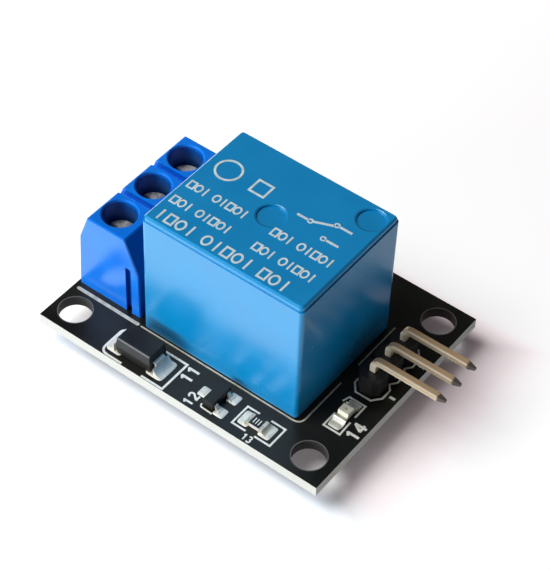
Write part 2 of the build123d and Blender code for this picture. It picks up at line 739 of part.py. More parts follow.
def transistor_body():
    body = tapered_body(transistor_x, transistor_y, transistor_width, transistor_length,
                        top + transistor_standoff, transistor_height, 7)
    for side, y in transistor_lead_places():
        body -= transistor_lead(side, y)
    return body


def chip_core(x, y, along_y, z0, height):
    """Block of a chip part inside the skin of its end caps."""
    half_l, half_w = chip_length / 2 - chip_cap_skin, chip_width / 2 - chip_cap_skin
    if along_y:
        half_l, half_w = half_w, half_l
    return block(x - half_l, x + half_l, y - half_w, y + half_w, z0 + chip_cap_skin, z0 + height - chip_cap_skin)


def chip_cap(x, y, along_y, side, z0, height):
    """Metal cap wrapped round one end of a chip part."""
    half_l, half_w = chip_length / 2, chip_width / 2
    near, far = side * (half_l - chip_cap_length), side * half_l
    u0, u1 = min(near, far), max(near, far)
    if along_y:
        cap = block(x - half_w, x + half_w, y + u0, y + u1, z0, z0 + height)
    else:
        cap = block(x + u0, x + u1, y - half_w, y + half_w, z0, z0 + height)
    return cap - chip_core(x, y, along_y, z0, height)


def resistor_glaze():
    half_l = chip_length / 2 - chip_cap_length
    half_w = chip_width / 2 - chip_cap_skin
    z0 = top + resistor_height - chip_cap_skin
    return block(resistor_x - half_l, resistor_x + half_l, resistor_y - half_w, resistor_y + half_w,
                 z0, z0 + resistor_glaze_thickness)


def lamp_chip():
    s = lamp_chip_side / 2
    z0 = top + lamp_base_height - chip_cap_skin
    return block(lamp_x - s, lamp_x + s, lamp_y - s, lamp_y + s, z0, z0 + lamp_chip_height)


def lamp_lens():
    """Clear block over the lamp chip, with sloping ends."""
    z0, z1 = top + lamp_base_height - chip_cap_skin, top + lamp_height
    half_l = (chip_length - 2 * chip_cap_length) / 2
    half_top = half_l - lamp_lens_slope
    half_w = chip_width / 2 - chip_cap_skin
    outline = [(lamp_y - half_l, z0), (lamp_y + half_l, z0), (lamp_y + half_top, z1), (lamp_y - half_top, z1)]
    return prism_yz(outline, lamp_x - half_w, lamp_x + half_w) - lamp_chip()


def ring_face(radius, z):
    """Many-sided plan face of a solder joint at one height."""
    return Pos(0, 0, z) * RegularPolygon(radius, joint_sides)


def through_joint(place, pin):
    """Solder in a plated hole, with a hollow-sided cone under the board round the pin's tail."""
    x, y, hole_radius, pad = place
    tip = hole_radius + joint_tip_margin
    waist = tip + (pad - tip) * 0.3
    waist_z = -joint_height * 0.4
    joint = extrude(ring_face(hole_radius, 0), amount=top)
    joint += loft([ring_face(waist, waist_z), ring_face(pad, 0)])
    joint += loft([ring_face(tip, -joint_height), ring_face(waist, waist_z)])
    return Pos(x, y, 0) * joint - pin


def wedge(x, y, along_y, side, reach, width, height):
    """Solder fillet that runs down from a part's end to the pad's edge."""
    u0, u1 = 0, side * reach
    low = wedge_edge
    mid_u, mid_z = u0 + (u1 - u0) * 0.36, top + height * 0.34
    if along_y:
        line = Polyline((x - width / 2, y + u1, top + low), (x - width / 2, y + u1, top),
                        (x - width / 2, y + u0, top), (x - width / 2, y + u0, top + height))
        arc = ThreePointArc((x - width / 2, y + u0, top + height), (x - width / 2, y + mid_u, mid_z),
                            (x - width / 2, y + u1, top + low))
        return extrude(make_face([line, arc]), amount=width, dir=(1, 0, 0))
    line = Polyline((x + u1, y - width / 2, top + low), (x + u1, y - width / 2, top),
                    (x + u0, y - width / 2, top), (x + u0, y - width / 2, top + height))
    arc = ThreePointArc((x + u0, y - width / 2, top + height), (x + mid_u, y - width / 2, mid_z),
                        (x + u1, y - width / 2, top + low))
    return extrude(make_face([line, arc]), amount=width, dir=(0, 1, 0))


def solder_diode():
    end = diode_length / 2 + diode_lead_reach
    width = diode_lead_width + 2 * diode_solder_margin
    return [wedge(diode_x + s * end, diode_y, False, s, diode_solder_reach, width, diode_solder_height)
            for s in (-1, 1)]


def solder_transistor():
    end = transistor_lead_span / 2
    return [wedge(transistor_x + s * end, y, False, s, transistor_solder_reach, transistor_solder_width,
                  transistor_solder_height) for s, y in transistor_lead_places()]


def solder_chip(x, y, along_y):
    half = chip_length / 2
    width = chip_width + 2 * chip_solder_margin
    dx, dy = (0, half) if along_y else (half, 0)
    return [wedge(x + s * dx, y + s * dy, along_y, s, chip_solder_reach, width, chip_solder_height)
            for s in (-1, 1)]


def group(solids):
    """Several like solids as one piece."""
    return Compound(children=[s for s in solids])


def pieces():
    yield "board", circuit_board()
    yield "relay_cover", relay_cover()
    yield "relay_base", relay_base()
    yield "relay_yoke", relay_yoke()
    yield "relay_core", relay_core()
    yield "relay_bobbin", relay_bobbin()
    yield "relay_coil", relay_coil()
    yield "relay_armature", relay_armature()
    yield "relay_spring", relay_spring()
    yield "relay_moving_contact", moving_contact()
    yield "relay_make_contact", make_contact()
    yield "relay_make_strip", make_strip()
    yield "relay_break_contact", break_contact()
    yield "relay_break_strip", break_strip()
    yield "relay_common_pin", common_pin()
    yield "relay_coil_pin_1", coil_pin("coil_a")
    yield "relay_coil_pin_2", coil_pin("coil_b")
    yield "terminal_housing", terminal_housing()
    for i, y in enumerate(pole_ys, 1):
        yield f"terminal_cage_{i}", terminal_cage(y)
        yield f"terminal_screw_{i}", terminal_screw(y)
        yield f"terminal_guard_{i}", terminal_guard(y)
    yield "header_base", header_base()
    for i, y in enumerate(header_ys, 1):
        yield f"header_pin_{i}", header_pin(y)
    yield "diode_body", diode_body()
    for i, side in enumerate((-1, 1), 1):
        yield f"diode_lead_{i}", diode_lead(side)
    yield "transistor_body", transistor_body()
    for i, (side, y) in enumerate(transistor_lead_places(), 1):
        yield f"transistor_lead_{i}", transistor_lead(side, y)
    yield "resistor_body", chip_core(resistor_x, resistor_y, False, top, resistor_height)
    yield "resistor_glaze", resistor_glaze()
    for i, side in enumerate((-1, 1), 1):
        yield f"resistor_cap_{i}", chip_cap(resistor_x, resistor_y, False, side, top, resistor_height)
    yield "lamp_base", chip_core(lamp_x, lamp_y, True, top, lamp_base_height)
    yield "lamp_chip", lamp_chip()
    yield "lamp_lens", lamp_lens()
    for i, side in enumerate((-1, 1), 1):
        yield f"lamp_cap_{i}", chip_cap(lamp_x, lamp_y, True, side, top, lamp_base_height)
    relay_pins = {"common": common_pin(), "coil_a": coil_pin("coil_a"), "coil_b": coil_pin("coil_b"),
                  "make": make_strip(), "break": break_strip()}
    yield "solder_relay", group([through_joint(relay_holes[n], p) for n, p in relay_pins.items()])
    yield "solder_terminals", group([through_joint(h, terminal_cage(h[1])) for h in terminal_holes])
    yield "solder_header", group([through_joint(h, header_pin(h[1])) for h in header_holes])
    yield "solder_diode", group(solder_diode())
    yield "solder_transistor", group(solder_transistor())
    yield "solder_resistor", group(solder_chip(resistor_x, resistor_y, False))
    yield "solder_lamp", group(solder_chip(lamp_x, lamp_y, True))


os.makedirs("parts", exist_ok=True)
for name, shape in pieces():
    export_step(shape, f"parts/{name}.step")
    print(f"{name:24s} {shape.volume:9.3f} mm3")
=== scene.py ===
# %% [markdown]
# # A small relay board, dressed for its picture
# The solid parts of this board were drawn elsewhere and arrive as a fixed frame. This lesson gives
# every one of them a finish, and adds what is too thin for the solid model: the white printing, the
# tinned pads, the copper tracks under the black lacquer and the rounded solder joints. We load the
# frame first and keep its box, whose bottom sets the floor.

# %% Load the frame
import json
import bmesh
import bpy
import numpy as np
from mathutils import Matrix, Vector


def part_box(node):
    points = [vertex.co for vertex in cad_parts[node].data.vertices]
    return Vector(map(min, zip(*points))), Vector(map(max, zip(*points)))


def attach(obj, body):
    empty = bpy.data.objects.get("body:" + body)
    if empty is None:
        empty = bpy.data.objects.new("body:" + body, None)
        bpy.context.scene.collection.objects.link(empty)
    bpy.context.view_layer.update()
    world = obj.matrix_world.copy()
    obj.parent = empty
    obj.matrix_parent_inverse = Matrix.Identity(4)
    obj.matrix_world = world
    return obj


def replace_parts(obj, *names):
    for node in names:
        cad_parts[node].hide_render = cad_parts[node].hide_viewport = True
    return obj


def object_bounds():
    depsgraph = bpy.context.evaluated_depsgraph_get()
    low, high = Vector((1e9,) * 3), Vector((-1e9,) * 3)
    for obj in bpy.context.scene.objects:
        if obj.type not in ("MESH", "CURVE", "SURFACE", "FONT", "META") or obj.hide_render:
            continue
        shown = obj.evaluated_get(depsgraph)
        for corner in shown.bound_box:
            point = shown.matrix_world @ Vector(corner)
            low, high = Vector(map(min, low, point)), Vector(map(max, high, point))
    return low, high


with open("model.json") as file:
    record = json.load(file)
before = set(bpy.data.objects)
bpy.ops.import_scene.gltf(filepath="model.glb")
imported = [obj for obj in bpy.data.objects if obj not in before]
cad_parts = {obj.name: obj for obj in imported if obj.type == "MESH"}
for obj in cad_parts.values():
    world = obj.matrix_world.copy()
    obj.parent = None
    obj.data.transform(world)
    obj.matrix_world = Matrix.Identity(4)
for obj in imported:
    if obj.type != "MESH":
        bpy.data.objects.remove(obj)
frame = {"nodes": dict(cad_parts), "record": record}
cad_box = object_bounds()
MM = 0.001
print("solid parts:", len(frame["nodes"]), "box:", [tuple(round(v / MM, 2) for v in p) for p in cad_box])

# %% [markdown]
# ## Measures that the new pieces share
# A printed line must sit on the board where the parts are, not where we remember them. So we ask the
# frame for the box of each part that carries something, and turn its corners into millimetres, the
# unit in which an electronics maker thinks.


# %% Places taken from the frame
def millimetres(name):
    """Lowest and highest corner of one solid part, in millimetres."""
    return [np.array(corner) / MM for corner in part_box(name)]


def corners_of(name):
    """Every corner of one solid part's mesh, in millimetres."""
    mesh = frame["nodes"][name].data
    flat = np.zeros(len(mesh.vertices) * 3, np.float32)
    mesh.vertices.foreach_get("co", flat)
    return flat.reshape(-1, 3) / MM


board_low, board_high = millimetres("board")
cover_low, cover_high = millimetres("relay_cover")
block_low, block_high = millimetres("terminal_housing")
header_low, header_high = millimetres("header_base")
header_x, header_y = (header_low + header_high)[:2] / 2
board_top, cover_top, block_top = board_high[2], cover_high[2], block_high[2]
pole_pitch = 5.08
pin_pitch = 2.54
sunk = 0.005
print("board", board_high - board_low, "cover top", cover_top, "films sunk by", sunk)

# %% [markdown]
# ## Small tools for shapes
# Every new piece here is either a profile carried along a path, such as a printed line, or a set of
# rings stacked between two poles, such as a solder joint. Both are grids of points. One helper lays
# quads over a grid, and another turns the result into an object whose place is in its mesh. It takes the
# object's finish by name from a collection that is filled further down.


# %% Grids, skins and pieces
finishes = {}


def skin(grid, joined_path=False):
    """Quads between the neighbours of a grid whose rows are closed rings. The path of rings is either
    joined end to end, or closed by one face at each end."""
    rows, columns = grid.shape[:2]
    index = np.arange(rows * columns).reshape(rows, columns)
    wrapped = np.hstack([index, index[:, :1]])
    if joined_path:
        wrapped = np.vstack([wrapped, wrapped[:1]])
    quads = np.stack([wrapped[:-1, :-1], wrapped[1:, :-1], wrapped[1:, 1:], wrapped[:-1, 1:]], axis=-1)
    faces = quads.reshape(-1, 4).tolist()
    if not joined_path:
        faces += [index[0].tolist(), index[-1].tolist()]
    return grid.reshape(-1, 3), faces


def piece(name, skins, slot, finish=None, smooth=False):
    """One object from several skins. Doubled points at poles are merged, and faces turned outwards. Its
    finish has the name of its slot if no other is given."""
    starts = np.cumsum([0] + [len(points) for points, _ in skins])
    corners = np.vstack([points for points, _ in skins]) * MM
    faces = [[i + start for i in face] for (_, some), start in zip(skins, starts) for face in some]
    mesh = bpy.data.meshes.new(name)
    mesh.from_pydata(corners, [], faces)
    shape = bmesh.new()
    shape.from_mesh(mesh)
    bmesh.ops.remove_doubles(shape, verts=shape.verts, dist=1e-7)
    bmesh.ops.dissolve_degenerate(shape, edges=shape.edges, dist=1e-8)
    bmesh.ops.recalc_face_normals(shape, faces=shape.faces)
    shape.to_mesh(mesh)
    shape.free()
    mesh.polygons.foreach_set("use_smooth", [smooth] * len(mesh.polygons))
    mesh.materials.append(finishes[finish or slot])
    thing = bpy.data.objects.new(name, mesh)
    bpy.context.scene.collection.objects.link(thing)
    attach(thing, "board")
    print(f"{name}: {len(mesh.polygons)} faces")
    return thing


# %% [markdown]
# ## The profile of a printed line
# White printing is a film of ink some hundredths of a millimetre thick with square corners. It could
# be painted into the board's material, but a real thin strip catches the light at its edge and stays
# sharp at any zoom. The strip's two sides have to meet properly at a corner, which is a mitre.


# %% A flat line along a path
def line(path, width, low, high, closed=False):
    """A four-cornered profile along a path in the plan. At each point the step to the side is half the
    width times the sum of both edges' normals, divided by one plus the normals' dot product."""
    p = np.asarray(path, float)
    ahead = np.roll(p, -1, axis=0) - p
    ahead /= np.linalg.norm(ahead, axis=1, keepdims=True)
    after = np.stack([-ahead[:, 1], ahead[:, 0]], axis=1)
    if not closed:
        after[-1] = after[-2]
    before = np.roll(after, 1, axis=0)
    if not closed:
        before[0] = after[0]
    step = (before + after) / (1 + (before * after).sum(axis=1, keepdims=True)) * width / 2
    ends = np.ones((len(p), 1))
    corners = [np.hstack([p + side * step, ends * level])
               for side, level in ((1, low), (-1, low), (-1, high), (1, high))]
    return skin(np.stack(corners, axis=1), joined_path=closed)


def arc(x, y, radius, start, end, steps=8):
    """Points on a circle between two angles in degrees."""
    a = np.radians(np.linspace(start, end, steps + 1))
    return np.stack([x + radius * np.cos(a), y + radius * np.sin(a)], axis=1)


def corner_path(points, radii, steps=5):
    """A path through corners of which each is rounded by its own radius: a quadratic blend between
    the two points one radius before and after the corner."""
    p = np.asarray(points, float)
    made = [p[:1]]
    t = np.linspace(0, 1, steps + 1)[:, None]
    for before, here, after, radius in zip(p[:-2], p[1:-1], p[2:], radii):
        a = here + (before - here) / np.linalg.norm(before - here) * radius
        b = here + (after - here) / np.linalg.norm(after - here) * radius
        made.append((1 - t) ** 2 * a + 2 * t * (1 - t) * here + t ** 2 * b if radius else here[None])
    return np.vstack(made + [p[-1:]])


# %% [markdown]
# ## Rings between two poles
# Solder wets a round pad and climbs the pin in a hollow curve, and on a flat pad it dries as a shallow
# cushion. Both are rings: an outline in the plan, scaled and lifted step by step. A table of radius and
# height would do, but a formula tells the reader what the surface is.


# %% Round and square rings
def rings(x, y, outline, scale, height):
    """A stack of rings: row i is the outline times scale i, at height i, about the point x, y."""
    flat = np.asarray(scale)[:, None, None] * outline[None] + np.array([x, y])
    lift = np.broadcast_to(np.asarray(height)[:, None, None], flat.shape[:2] + (1,))
    return skin(np.concatenate([flat, lift], axis=-1))


def circle(count=48):
    """Unit circle in the plan."""
    a = np.linspace(0, 2 * np.pi, count, endpoint=False)
    return np.stack([np.cos(a), np.sin(a)], axis=1)


def soft_box(half_x, half_y, power=7, count=64):
    """Rounded rectangle: cosine and sine, each raised to two over the power with its sign kept."""
    unit = circle(count)
    return np.sign(unit) * np.abs(unit) ** (2 / power) * [half_x, half_y]


def cushion(x0, x1, y0, y1, low, rim, crown):
    """A tinned pad: an upright rim, then a crown that falls off with the fourth power of the radius."""
    r = np.sin(np.linspace(0, np.pi / 2, 10))[::-1]
    scale = np.concatenate([[0, 1], r])
    height = np.concatenate([[low, low], low + rim + crown * (1 - r ** 4)])
    return rings((x0 + x1) / 2, (y0 + y1) / 2, soft_box((x1 - x0) / 2, (y1 - y0) / 2), scale, height)


# %% [markdown]
# ## Small tools for finishes
# A finish is a network of shader nodes. Writing each node out takes four lines, so one helper adds a
# node, sets its values and ties its inputs in a single call, and others give plain words to the nodes
# that come up often. Effects that several finishes share are node groups with named inputs and outputs,
# made once and placed in each finish with its own values.


# %% Nodes and what feeds them
def feed(tree, node, ties):
    """Gives the named inputs of a node a value or another node's output."""
    for name, value in ties.items():
        if isinstance(value, bpy.types.NodeSocket):
            tree.links.new(value, node.inputs[name])
        else:
            node.inputs[name].default_value = value


def add(tree, kind, ties=None, **settings):
    """Adds a node, with its own options as settings and its inputs fed by ties."""
    made = tree.nodes.new(kind)
    for name, value in settings.items():
        setattr(made, name, value)
    feed(tree, made, ties or {})
    return made


def colour_of(value):
    """Four numbers for a colour socket from three; another node's output stays as it is."""
    return value if isinstance(value, bpy.types.NodeSocket) else tuple(value) + (1.0,)


def blend(tree, factor, a, b, kind="MIX"):
    """Colour a towards colour b by a factor."""
    ties = {0: factor, 6: colour_of(a), 7: colour_of(b)}
    return add(tree, "ShaderNodeMix", ties, data_type="RGBA", blend_type=kind).outputs[2]


def calc(tree, operation, value, *others):
    """A sum, product or other operation on values, from left to right. Some, like SINE, take only one."""
    for other in others or (0.0,):
        value = add(tree, "ShaderNodeMath", {0: value, 1: other}, operation=operation).outputs[0]
    return value


def axes(tree, vector):
    """The three parts of a vector, along X, Y and Z."""
    return add(tree, "ShaderNodeSeparateXYZ", {0: vector}).outputs


def ramp(tree, value, low, high, start=0.0, end=1.0, soft=False):
    """Start where the value is low, end where it is high, and no further. A soft ramp eases in and out."""
    ties = {"Value": value, "From Min": low, "From Max": high, "To Min": start, "To Max": end}
    kind = "SMOOTHSTEP" if soft else "LINEAR"
    return add(tree, "ShaderNodeMapRange", ties, interpolation_type=kind).outputs["Result"]


def noise(tree, vector, scale, detail=2.0, roughness=0.5):
    """Soft noise between 0 and 1 on a vector."""
    ties = {"Vector": vector, "Scale": scale, "Detail": detail, "Roughness": roughness}
    return add(tree, "ShaderNodeTexNoise", ties).outputs["Fac"]


def spread(tree, value, start, end):
    """Noise, which is seldom far below 0.25 or above 0.75, spread softly over start to end."""
    return ramp(tree, value, 0.25, 0.75, start, end, soft=True)


def nearest(tree, place, points, counted=(1.0, 1.0, 0.0)):
    """Distance to the nearest of some points in millimetres, along the axes that are counted by a one."""
    flat = add(tree, "ShaderNodeVectorMath", {0: place, 1: counted}, operation="MULTIPLY").outputs[0]
    goals = [[float(v) * c * MM for v, c in zip(point, counted)] for point in points]
    far = [add(tree, "ShaderNodeVectorMath", {0: flat, 1: goal}, operation="DISTANCE").outputs["Value"]
           for goal in goals]
    return calc(tree, "MINIMUM", *far) if len(far) > 1 else far[0]


# %% [markdown]
# ## The look of moulded plastic
# Moulded plastic isn't one flat colour. The pigment drifts a little in clouds some millimetres wide,
# the tool leaves a fine grain, and the face is never quite flat, which makes reflections swim. The
# group below makes these three from one vector, and each plastic part then picks its own strengths.


# %% Node group: moulded plastic
def numbers(*names):
    """Group sockets that carry plain numbers."""
    return {name: "Float" for name in names}


def start_group(name, inputs, outputs):
    """An empty node group with named sockets: its tree, what it is given, and the node for its results."""
    tree = bpy.data.node_groups.new(name, "ShaderNodeTree")
    for side, sockets in (("INPUT", inputs), ("OUTPUT", outputs)):
        for label, kind in sockets.items():
            tree.interface.new_socket(label, in_out=side, socket_type="NodeSocket" + kind)
    return tree, tree.nodes.new("NodeGroupInput").outputs, tree.nodes.new("NodeGroupOutput")


look_results = {"Colour": "Color", **numbers("Roughness", "Height")}
moulded, given, results = start_group("moulded plastic", {
    "Vector": "Vector", "Colour": "Color",
    **numbers("Cloud Scale", "Cloud Strength", "Grain Scale", "Grain Depth", "Wave Depth", "Gloss Low",
              "Gloss High")}, look_results)
drift = noise(moulded, given["Vector"], given["Cloud Scale"], 3.0)
grain = noise(moulded, given["Vector"], given["Grain Scale"])
swell = noise(moulded, given["Vector"], given["Cloud Scale"], 0.0)
lighter = blend(moulded, given["Cloud Strength"], given["Colour"], (1.0, 1.0, 1.0), "SOFT_LIGHT")
darker = blend(moulded, given["Cloud Strength"], given["Colour"], (0.0, 0.0, 0.0))
feed(moulded, results, {
    "Colour": blend(moulded, spread(moulded, drift, 0.0, 1.0), darker, lighter),
    "Roughness": spread(moulded, drift, given["Gloss Low"], given["Gloss High"]),
    "Height": calc(moulded, "ADD", calc(moulded, "MULTIPLY", grain, given["Grain Depth"]),
                   calc(moulded, "MULTIPLY", swell, given["Wave Depth"]))})
print("group:", moulded.name)

# %% [markdown]
# ## The look of plated and drawn metal
# A pin is drawn through a die and carries streaks along its length, a stamped part has finer ones, and
# tin and solder freeze with a mottled grain. Handling then dulls the metal in patches. One group does
# all of it: the vector may be stretched outside to give streaks, and a second noise makes the patches.

# %% Node group: worked metal
metal_look, given, results = start_group("worked metal", {
    "Streak Vector": "Vector", "Spot Vector": "Vector", "Bright": "Color", "Dull": "Color",
    **numbers("Streak Scale", "Spot Scale", "Spot Amount", "Gloss Low", "Gloss High")}, look_results)
streak = noise(metal_look, given["Streak Vector"], given["Streak Scale"], 3.0)
patch = spread(metal_look, noise(metal_look, given["Spot Vector"], given["Spot Scale"], 3.0, 0.6), 0.0, 1.0)
fine = blend(metal_look, calc(metal_look, "MULTIPLY", streak, 0.35), given["Bright"], given["Dull"])
dulled = calc(metal_look, "MULTIPLY", patch, given["Spot Amount"])
mixed = calc(metal_look, "MULTIPLY", calc(metal_look, "ADD", streak, patch), 0.5)
feed(metal_look, results, {
    "Colour": blend(metal_look, dulled, fine, given["Dull"]),
    "Roughness": ramp(metal_look, mixed, 0.2, 0.8, given["Gloss Low"], given["Gloss High"]),
    "Height": streak})
print("group:", metal_look.name)

# %% [markdown]
# ## Dust
# However well a small board is wiped, a little pale lint stays on faces that look up. It is faint, but
# black lacquer without any looks like a drawing. The group gives a mask: specks of noise, times how far
# the face looks up. Each finish mixes a pale grey in by it.

# %% Node group: dust
dust, given, results = start_group(
    "dust", {"Vector": "Vector", "Normal": "Vector", "Amount": "Float"}, {"Mask": "Float"})
speck = ramp(dust, noise(dust, given["Vector"], 5200.0, 4.0, 0.7), 0.62, 0.78)
film = ramp(dust, noise(dust, given["Vector"], 240.0, 3.0), 0.35, 0.75, 0.0, 0.35)
upward = ramp(dust, axes(dust, given["Normal"])["Z"], 0.2, 0.9)
lint = calc(dust, "MAXIMUM", speck, film)
feed(dust, results, {"Mask": calc(dust, "MULTIPLY", lint, upward, given["Amount"])})
print("group:", dust.name)

# %% [markdown]
# ## From group to finish
# The shader itself stays in each material. Two small builders join a group to it: one for plastics,
# one for metals. A finish can be opened again by its name, so that a special part can add a detail.


# %% Builders for plastic and metal finishes
def new_material(name):
    """Starts a finish: its node tree, its Principled shader and the coordinates on the object."""
    finishes[name] = bpy.data.materials.new(name)
    finishes[name].use_nodes = True
    tree = finishes[name].node_tree
    return tree, tree.nodes["Principled BSDF"], tree.nodes.new("ShaderNodeTexCoord").outputs["Object"]


def reopen(name, *fed):
    """Tree, shader and coordinates of a finish, and what feeds the named inputs of its shader."""
    tree = finishes[name].node_tree
    shader = tree.nodes["Principled BSDF"]
    place = tree.nodes["Texture Coordinate"].outputs["Object"]
    return tree, shader, place, *[shader.inputs[label].links[0].from_socket for label in fed]


def facing(tree):
    """The direction in which the surface looks."""
    return tree.nodes.new("ShaderNodeNewGeometry").outputs["Normal"]


def bump(tree, shader, height, distance):
    """Ties a height between 0 and 1 to the shader's normal; distance is its depth in metres."""
    made = add(tree, "ShaderNodeBump", {"Height": height, "Distance": distance, "Strength": 1.0})
    feed(tree, shader, {"Normal": made.outputs["Normal"]})


def dusted(tree, place, colour, amount):
    """The colour with pale dust over it."""
    ties = {"Vector": place, "Normal": facing(tree), "Amount": amount}
    veil = add(tree, "ShaderNodeGroup", ties, node_tree=dust).outputs["Mask"]
    return blend(tree, veil, colour, (0.42, 0.41, 0.40))


def moulded_look(tree, place, colour, clouds, grain, wave, gloss):
    """The moulded plastic group with its values: clouds and grain are a scale and a strength each."""
    return add(tree, "ShaderNodeGroup", {
        "Vector": place, "Colour": colour_of(colour), "Cloud Scale": clouds[0], "Cloud Strength": clouds[1],
        "Grain Scale": grain[0], "Grain Depth": grain[1], "Wave Depth": wave,
        "Gloss Low": gloss[0], "Gloss High": gloss[1]}, node_tree=moulded).outputs


def plastic(name, colour, clouds=(300.0, 0.08), grain=(9000.0, 0.3), wave=0.5, gloss=(0.25, 0.35),
            depth=4e-6, dust_amount=0.0, specular=0.5, tint=(1.0, 1.0, 1.0)):
    """A moulded plastic finish. The tint colours what it mirrors."""
    tree, shader, place = new_material(name)
    look = moulded_look(tree, place, colour, clouds, grain, wave, gloss)
    feed(tree, shader, {
        "Base Color": dusted(tree, place, look["Colour"], dust_amount), "Roughness": look["Roughness"],
        "Specular IOR Level": specular, "Specular Tint": colour_of(tint)})
    bump(tree, shader, look["Height"], depth)


def metal(name, bright, dull, stretch=(1.0, 1.0, 1.0), streaks=4000.0, spots=(900.0, 0.5),
          gloss=(0.18, 0.4), depth=2e-6, whole=1.0):
    """A worked metal finish, with streaks along the axis that stretch makes small. A dull oxide skin
    makes it less than whole metal."""
    tree, shader, place = new_material(name)
    along = add(tree, "ShaderNodeMapping", {"Vector": place, "Scale": stretch}).outputs["Vector"]
    look = add(tree, "ShaderNodeGroup", {
        "Streak Vector": along, "Spot Vector": place, "Bright": colour_of(bright), "Dull": colour_of(dull),
        "Streak Scale": streaks, "Spot Scale": spots[0], "Spot Amount": spots[1],
        "Gloss Low": gloss[0], "Gloss High": gloss[1]}, node_tree=metal_look).outputs
    feed(tree, shader, {"Base Color": look["Colour"], "Roughness": look["Roughness"], "Metallic": whole})
    bump(tree, shader, look["Height"], depth)


# %% [markdown]
# ## The board: black lacquer on pale glass laminate
# A board is a sandwich of glass cloth and resin with a black lacquer on both faces. Its sawn edges stay
# bare, so they show cream layers with thin darker bands where the cloth lies. Whether a point is on a
# face or on an edge follows from its normal: faces look up or down, edges and hole walls look sideways.
# Walls of holes get a painted shade that makes them nearly black, and lie inside the board's outline.

# %% Board finish
cloth_layers, edge_margin, hole_wall_shade = 7, 0.25, 0.98
tree, shader, place = new_material("board_laminate")
along, over, height_on_board = axes(tree, place)
layers = calc(tree, "MULTIPLY", height_on_board, cloth_layers * 2 * np.pi / (board_top * MM))
wobble = calc(tree, "MULTIPLY", noise(tree, place, 1500.0, 3.0, 0.6), 0.9)
cloth = ramp(tree, calc(tree, "SINE", calc(tree, "ADD", layers, wobble)), -1.0, 1.0)
woven = add(tree, "ShaderNodeMapping", {"Vector": place, "Scale": (1.0, 1.0, 0.2)}).outputs[0]
threads = noise(tree, woven, 6000.0)
edge = blend(tree, cloth, (0.47, 0.48, 0.435), (0.72, 0.735, 0.70))
edge = blend(tree, calc(tree, "MULTIPLY", threads, 0.35), edge, (0.82, 0.84, 0.81))
within = []
for measure, low, high in ((along, board_low[0], board_high[0]), (over, board_low[1], board_high[1])):
    from_middle = calc(tree, "ABSOLUTE", calc(tree, "SUBTRACT", measure, (low + high) / 2 * MM))
    within.append(calc(tree, "LESS_THAN", from_middle, ((high - low) / 2 - edge_margin) * MM))
# painted shade: hole walls, which lie inside the outline, are made nearly black
edge = blend(tree, calc(tree, "MULTIPLY", *within, hole_wall_shade), edge, (0.011, 0.011, 0.010))
lacquer = moulded_look(tree, place, (0.0082, 0.0084, 0.0066), clouds=(260.0, 0.25), grain=(3500.0, 0.35),
                       wave=0.8, gloss=(0.27, 0.37))
on_face = calc(tree, "GREATER_THAN", calc(tree, "ABSOLUTE", axes(tree, facing(tree))["Z"]), 0.5)
black = dusted(tree, place, lacquer["Colour"], 0.03)
feed(tree, shader, {
    "Base Color": blend(tree, on_face, edge, black), "Specular IOR Level": 0.30,
    "Roughness": ramp(tree, on_face, 0.0, 1.0, 0.72, lacquer["Roughness"])})
bump(tree, shader, calc(tree, "ADD", calc(tree, "MULTIPLY", lacquer["Height"], on_face),
                        calc(tree, "MULTIPLY", threads, 0.4)), 6e-6)
print("board finish with", cloth_layers, "cloth layers")

# %% [markdown]
# ## Two blues
# The relay's case is a satin mid blue that mirrors the table in its upright faces, so its gloss and the
# slight waviness of the wall matter more than its colour. The terminal block is a harder, glossier and
# far more saturated blue. Both are moulded plastics, and one builder serves them with other values.

# %% Plastic finishes
plastic("relay_case", (0.001, 0.250, 0.585), clouds=(170.0, 0.06), grain=(5200.0, 0.12), wave=3.2,
        gloss=(0.20, 0.28), depth=10e-6, dust_amount=0.02, specular=1.0, tint=(0.74, 0.93, 0.94))
plastic("terminal_plastic", (0.001, 0.185, 0.84), clouds=(240.0, 0.10), grain=(6000.0, 0.2), wave=2.0,
        gloss=(0.2, 0.3), depth=8e-6, dust_amount=0.02, specular=0.6, tint=(0.62, 1.0, 1.0))
plastic("relay_floor", (0.014, 0.014, 0.016), gloss=(0.4, 0.5))
plastic("bobbin_plastic", (0.70, 0.68, 0.60), gloss=(0.35, 0.45))
plastic("header_plastic", (0.008, 0.008, 0.0085), grain=(7000.0, 0.6), gloss=(0.34, 0.46), depth=8e-6,
        dust_amount=0.03, specular=0.4)
plastic("mould_compound", (0.0075, 0.0070, 0.0065), clouds=(700.0, 0.2), grain=(8000.0, 0.8),
        gloss=(0.38, 0.52), depth=8e-6, dust_amount=0.03, specular=0.35)
plastic("lamp_base", (0.66, 0.63, 0.50), gloss=(0.4, 0.55))
plastic("chip_ceramic", (0.76, 0.75, 0.71), clouds=(2500.0, 0.1), grain=(20000.0, 0.5), gloss=(0.5, 0.6))
plastic("resistor_glaze", (0.008, 0.008, 0.0085), gloss=(0.26, 0.36), dust_amount=0.03, specular=0.35)
plastic("print_ink", (0.90, 0.91, 0.84), clouds=(1800.0, 0.16), grain=(12000.0, 0.6), gloss=(0.45, 0.6),
        depth=3e-6)
print("plastics:", ", ".join(finishes))
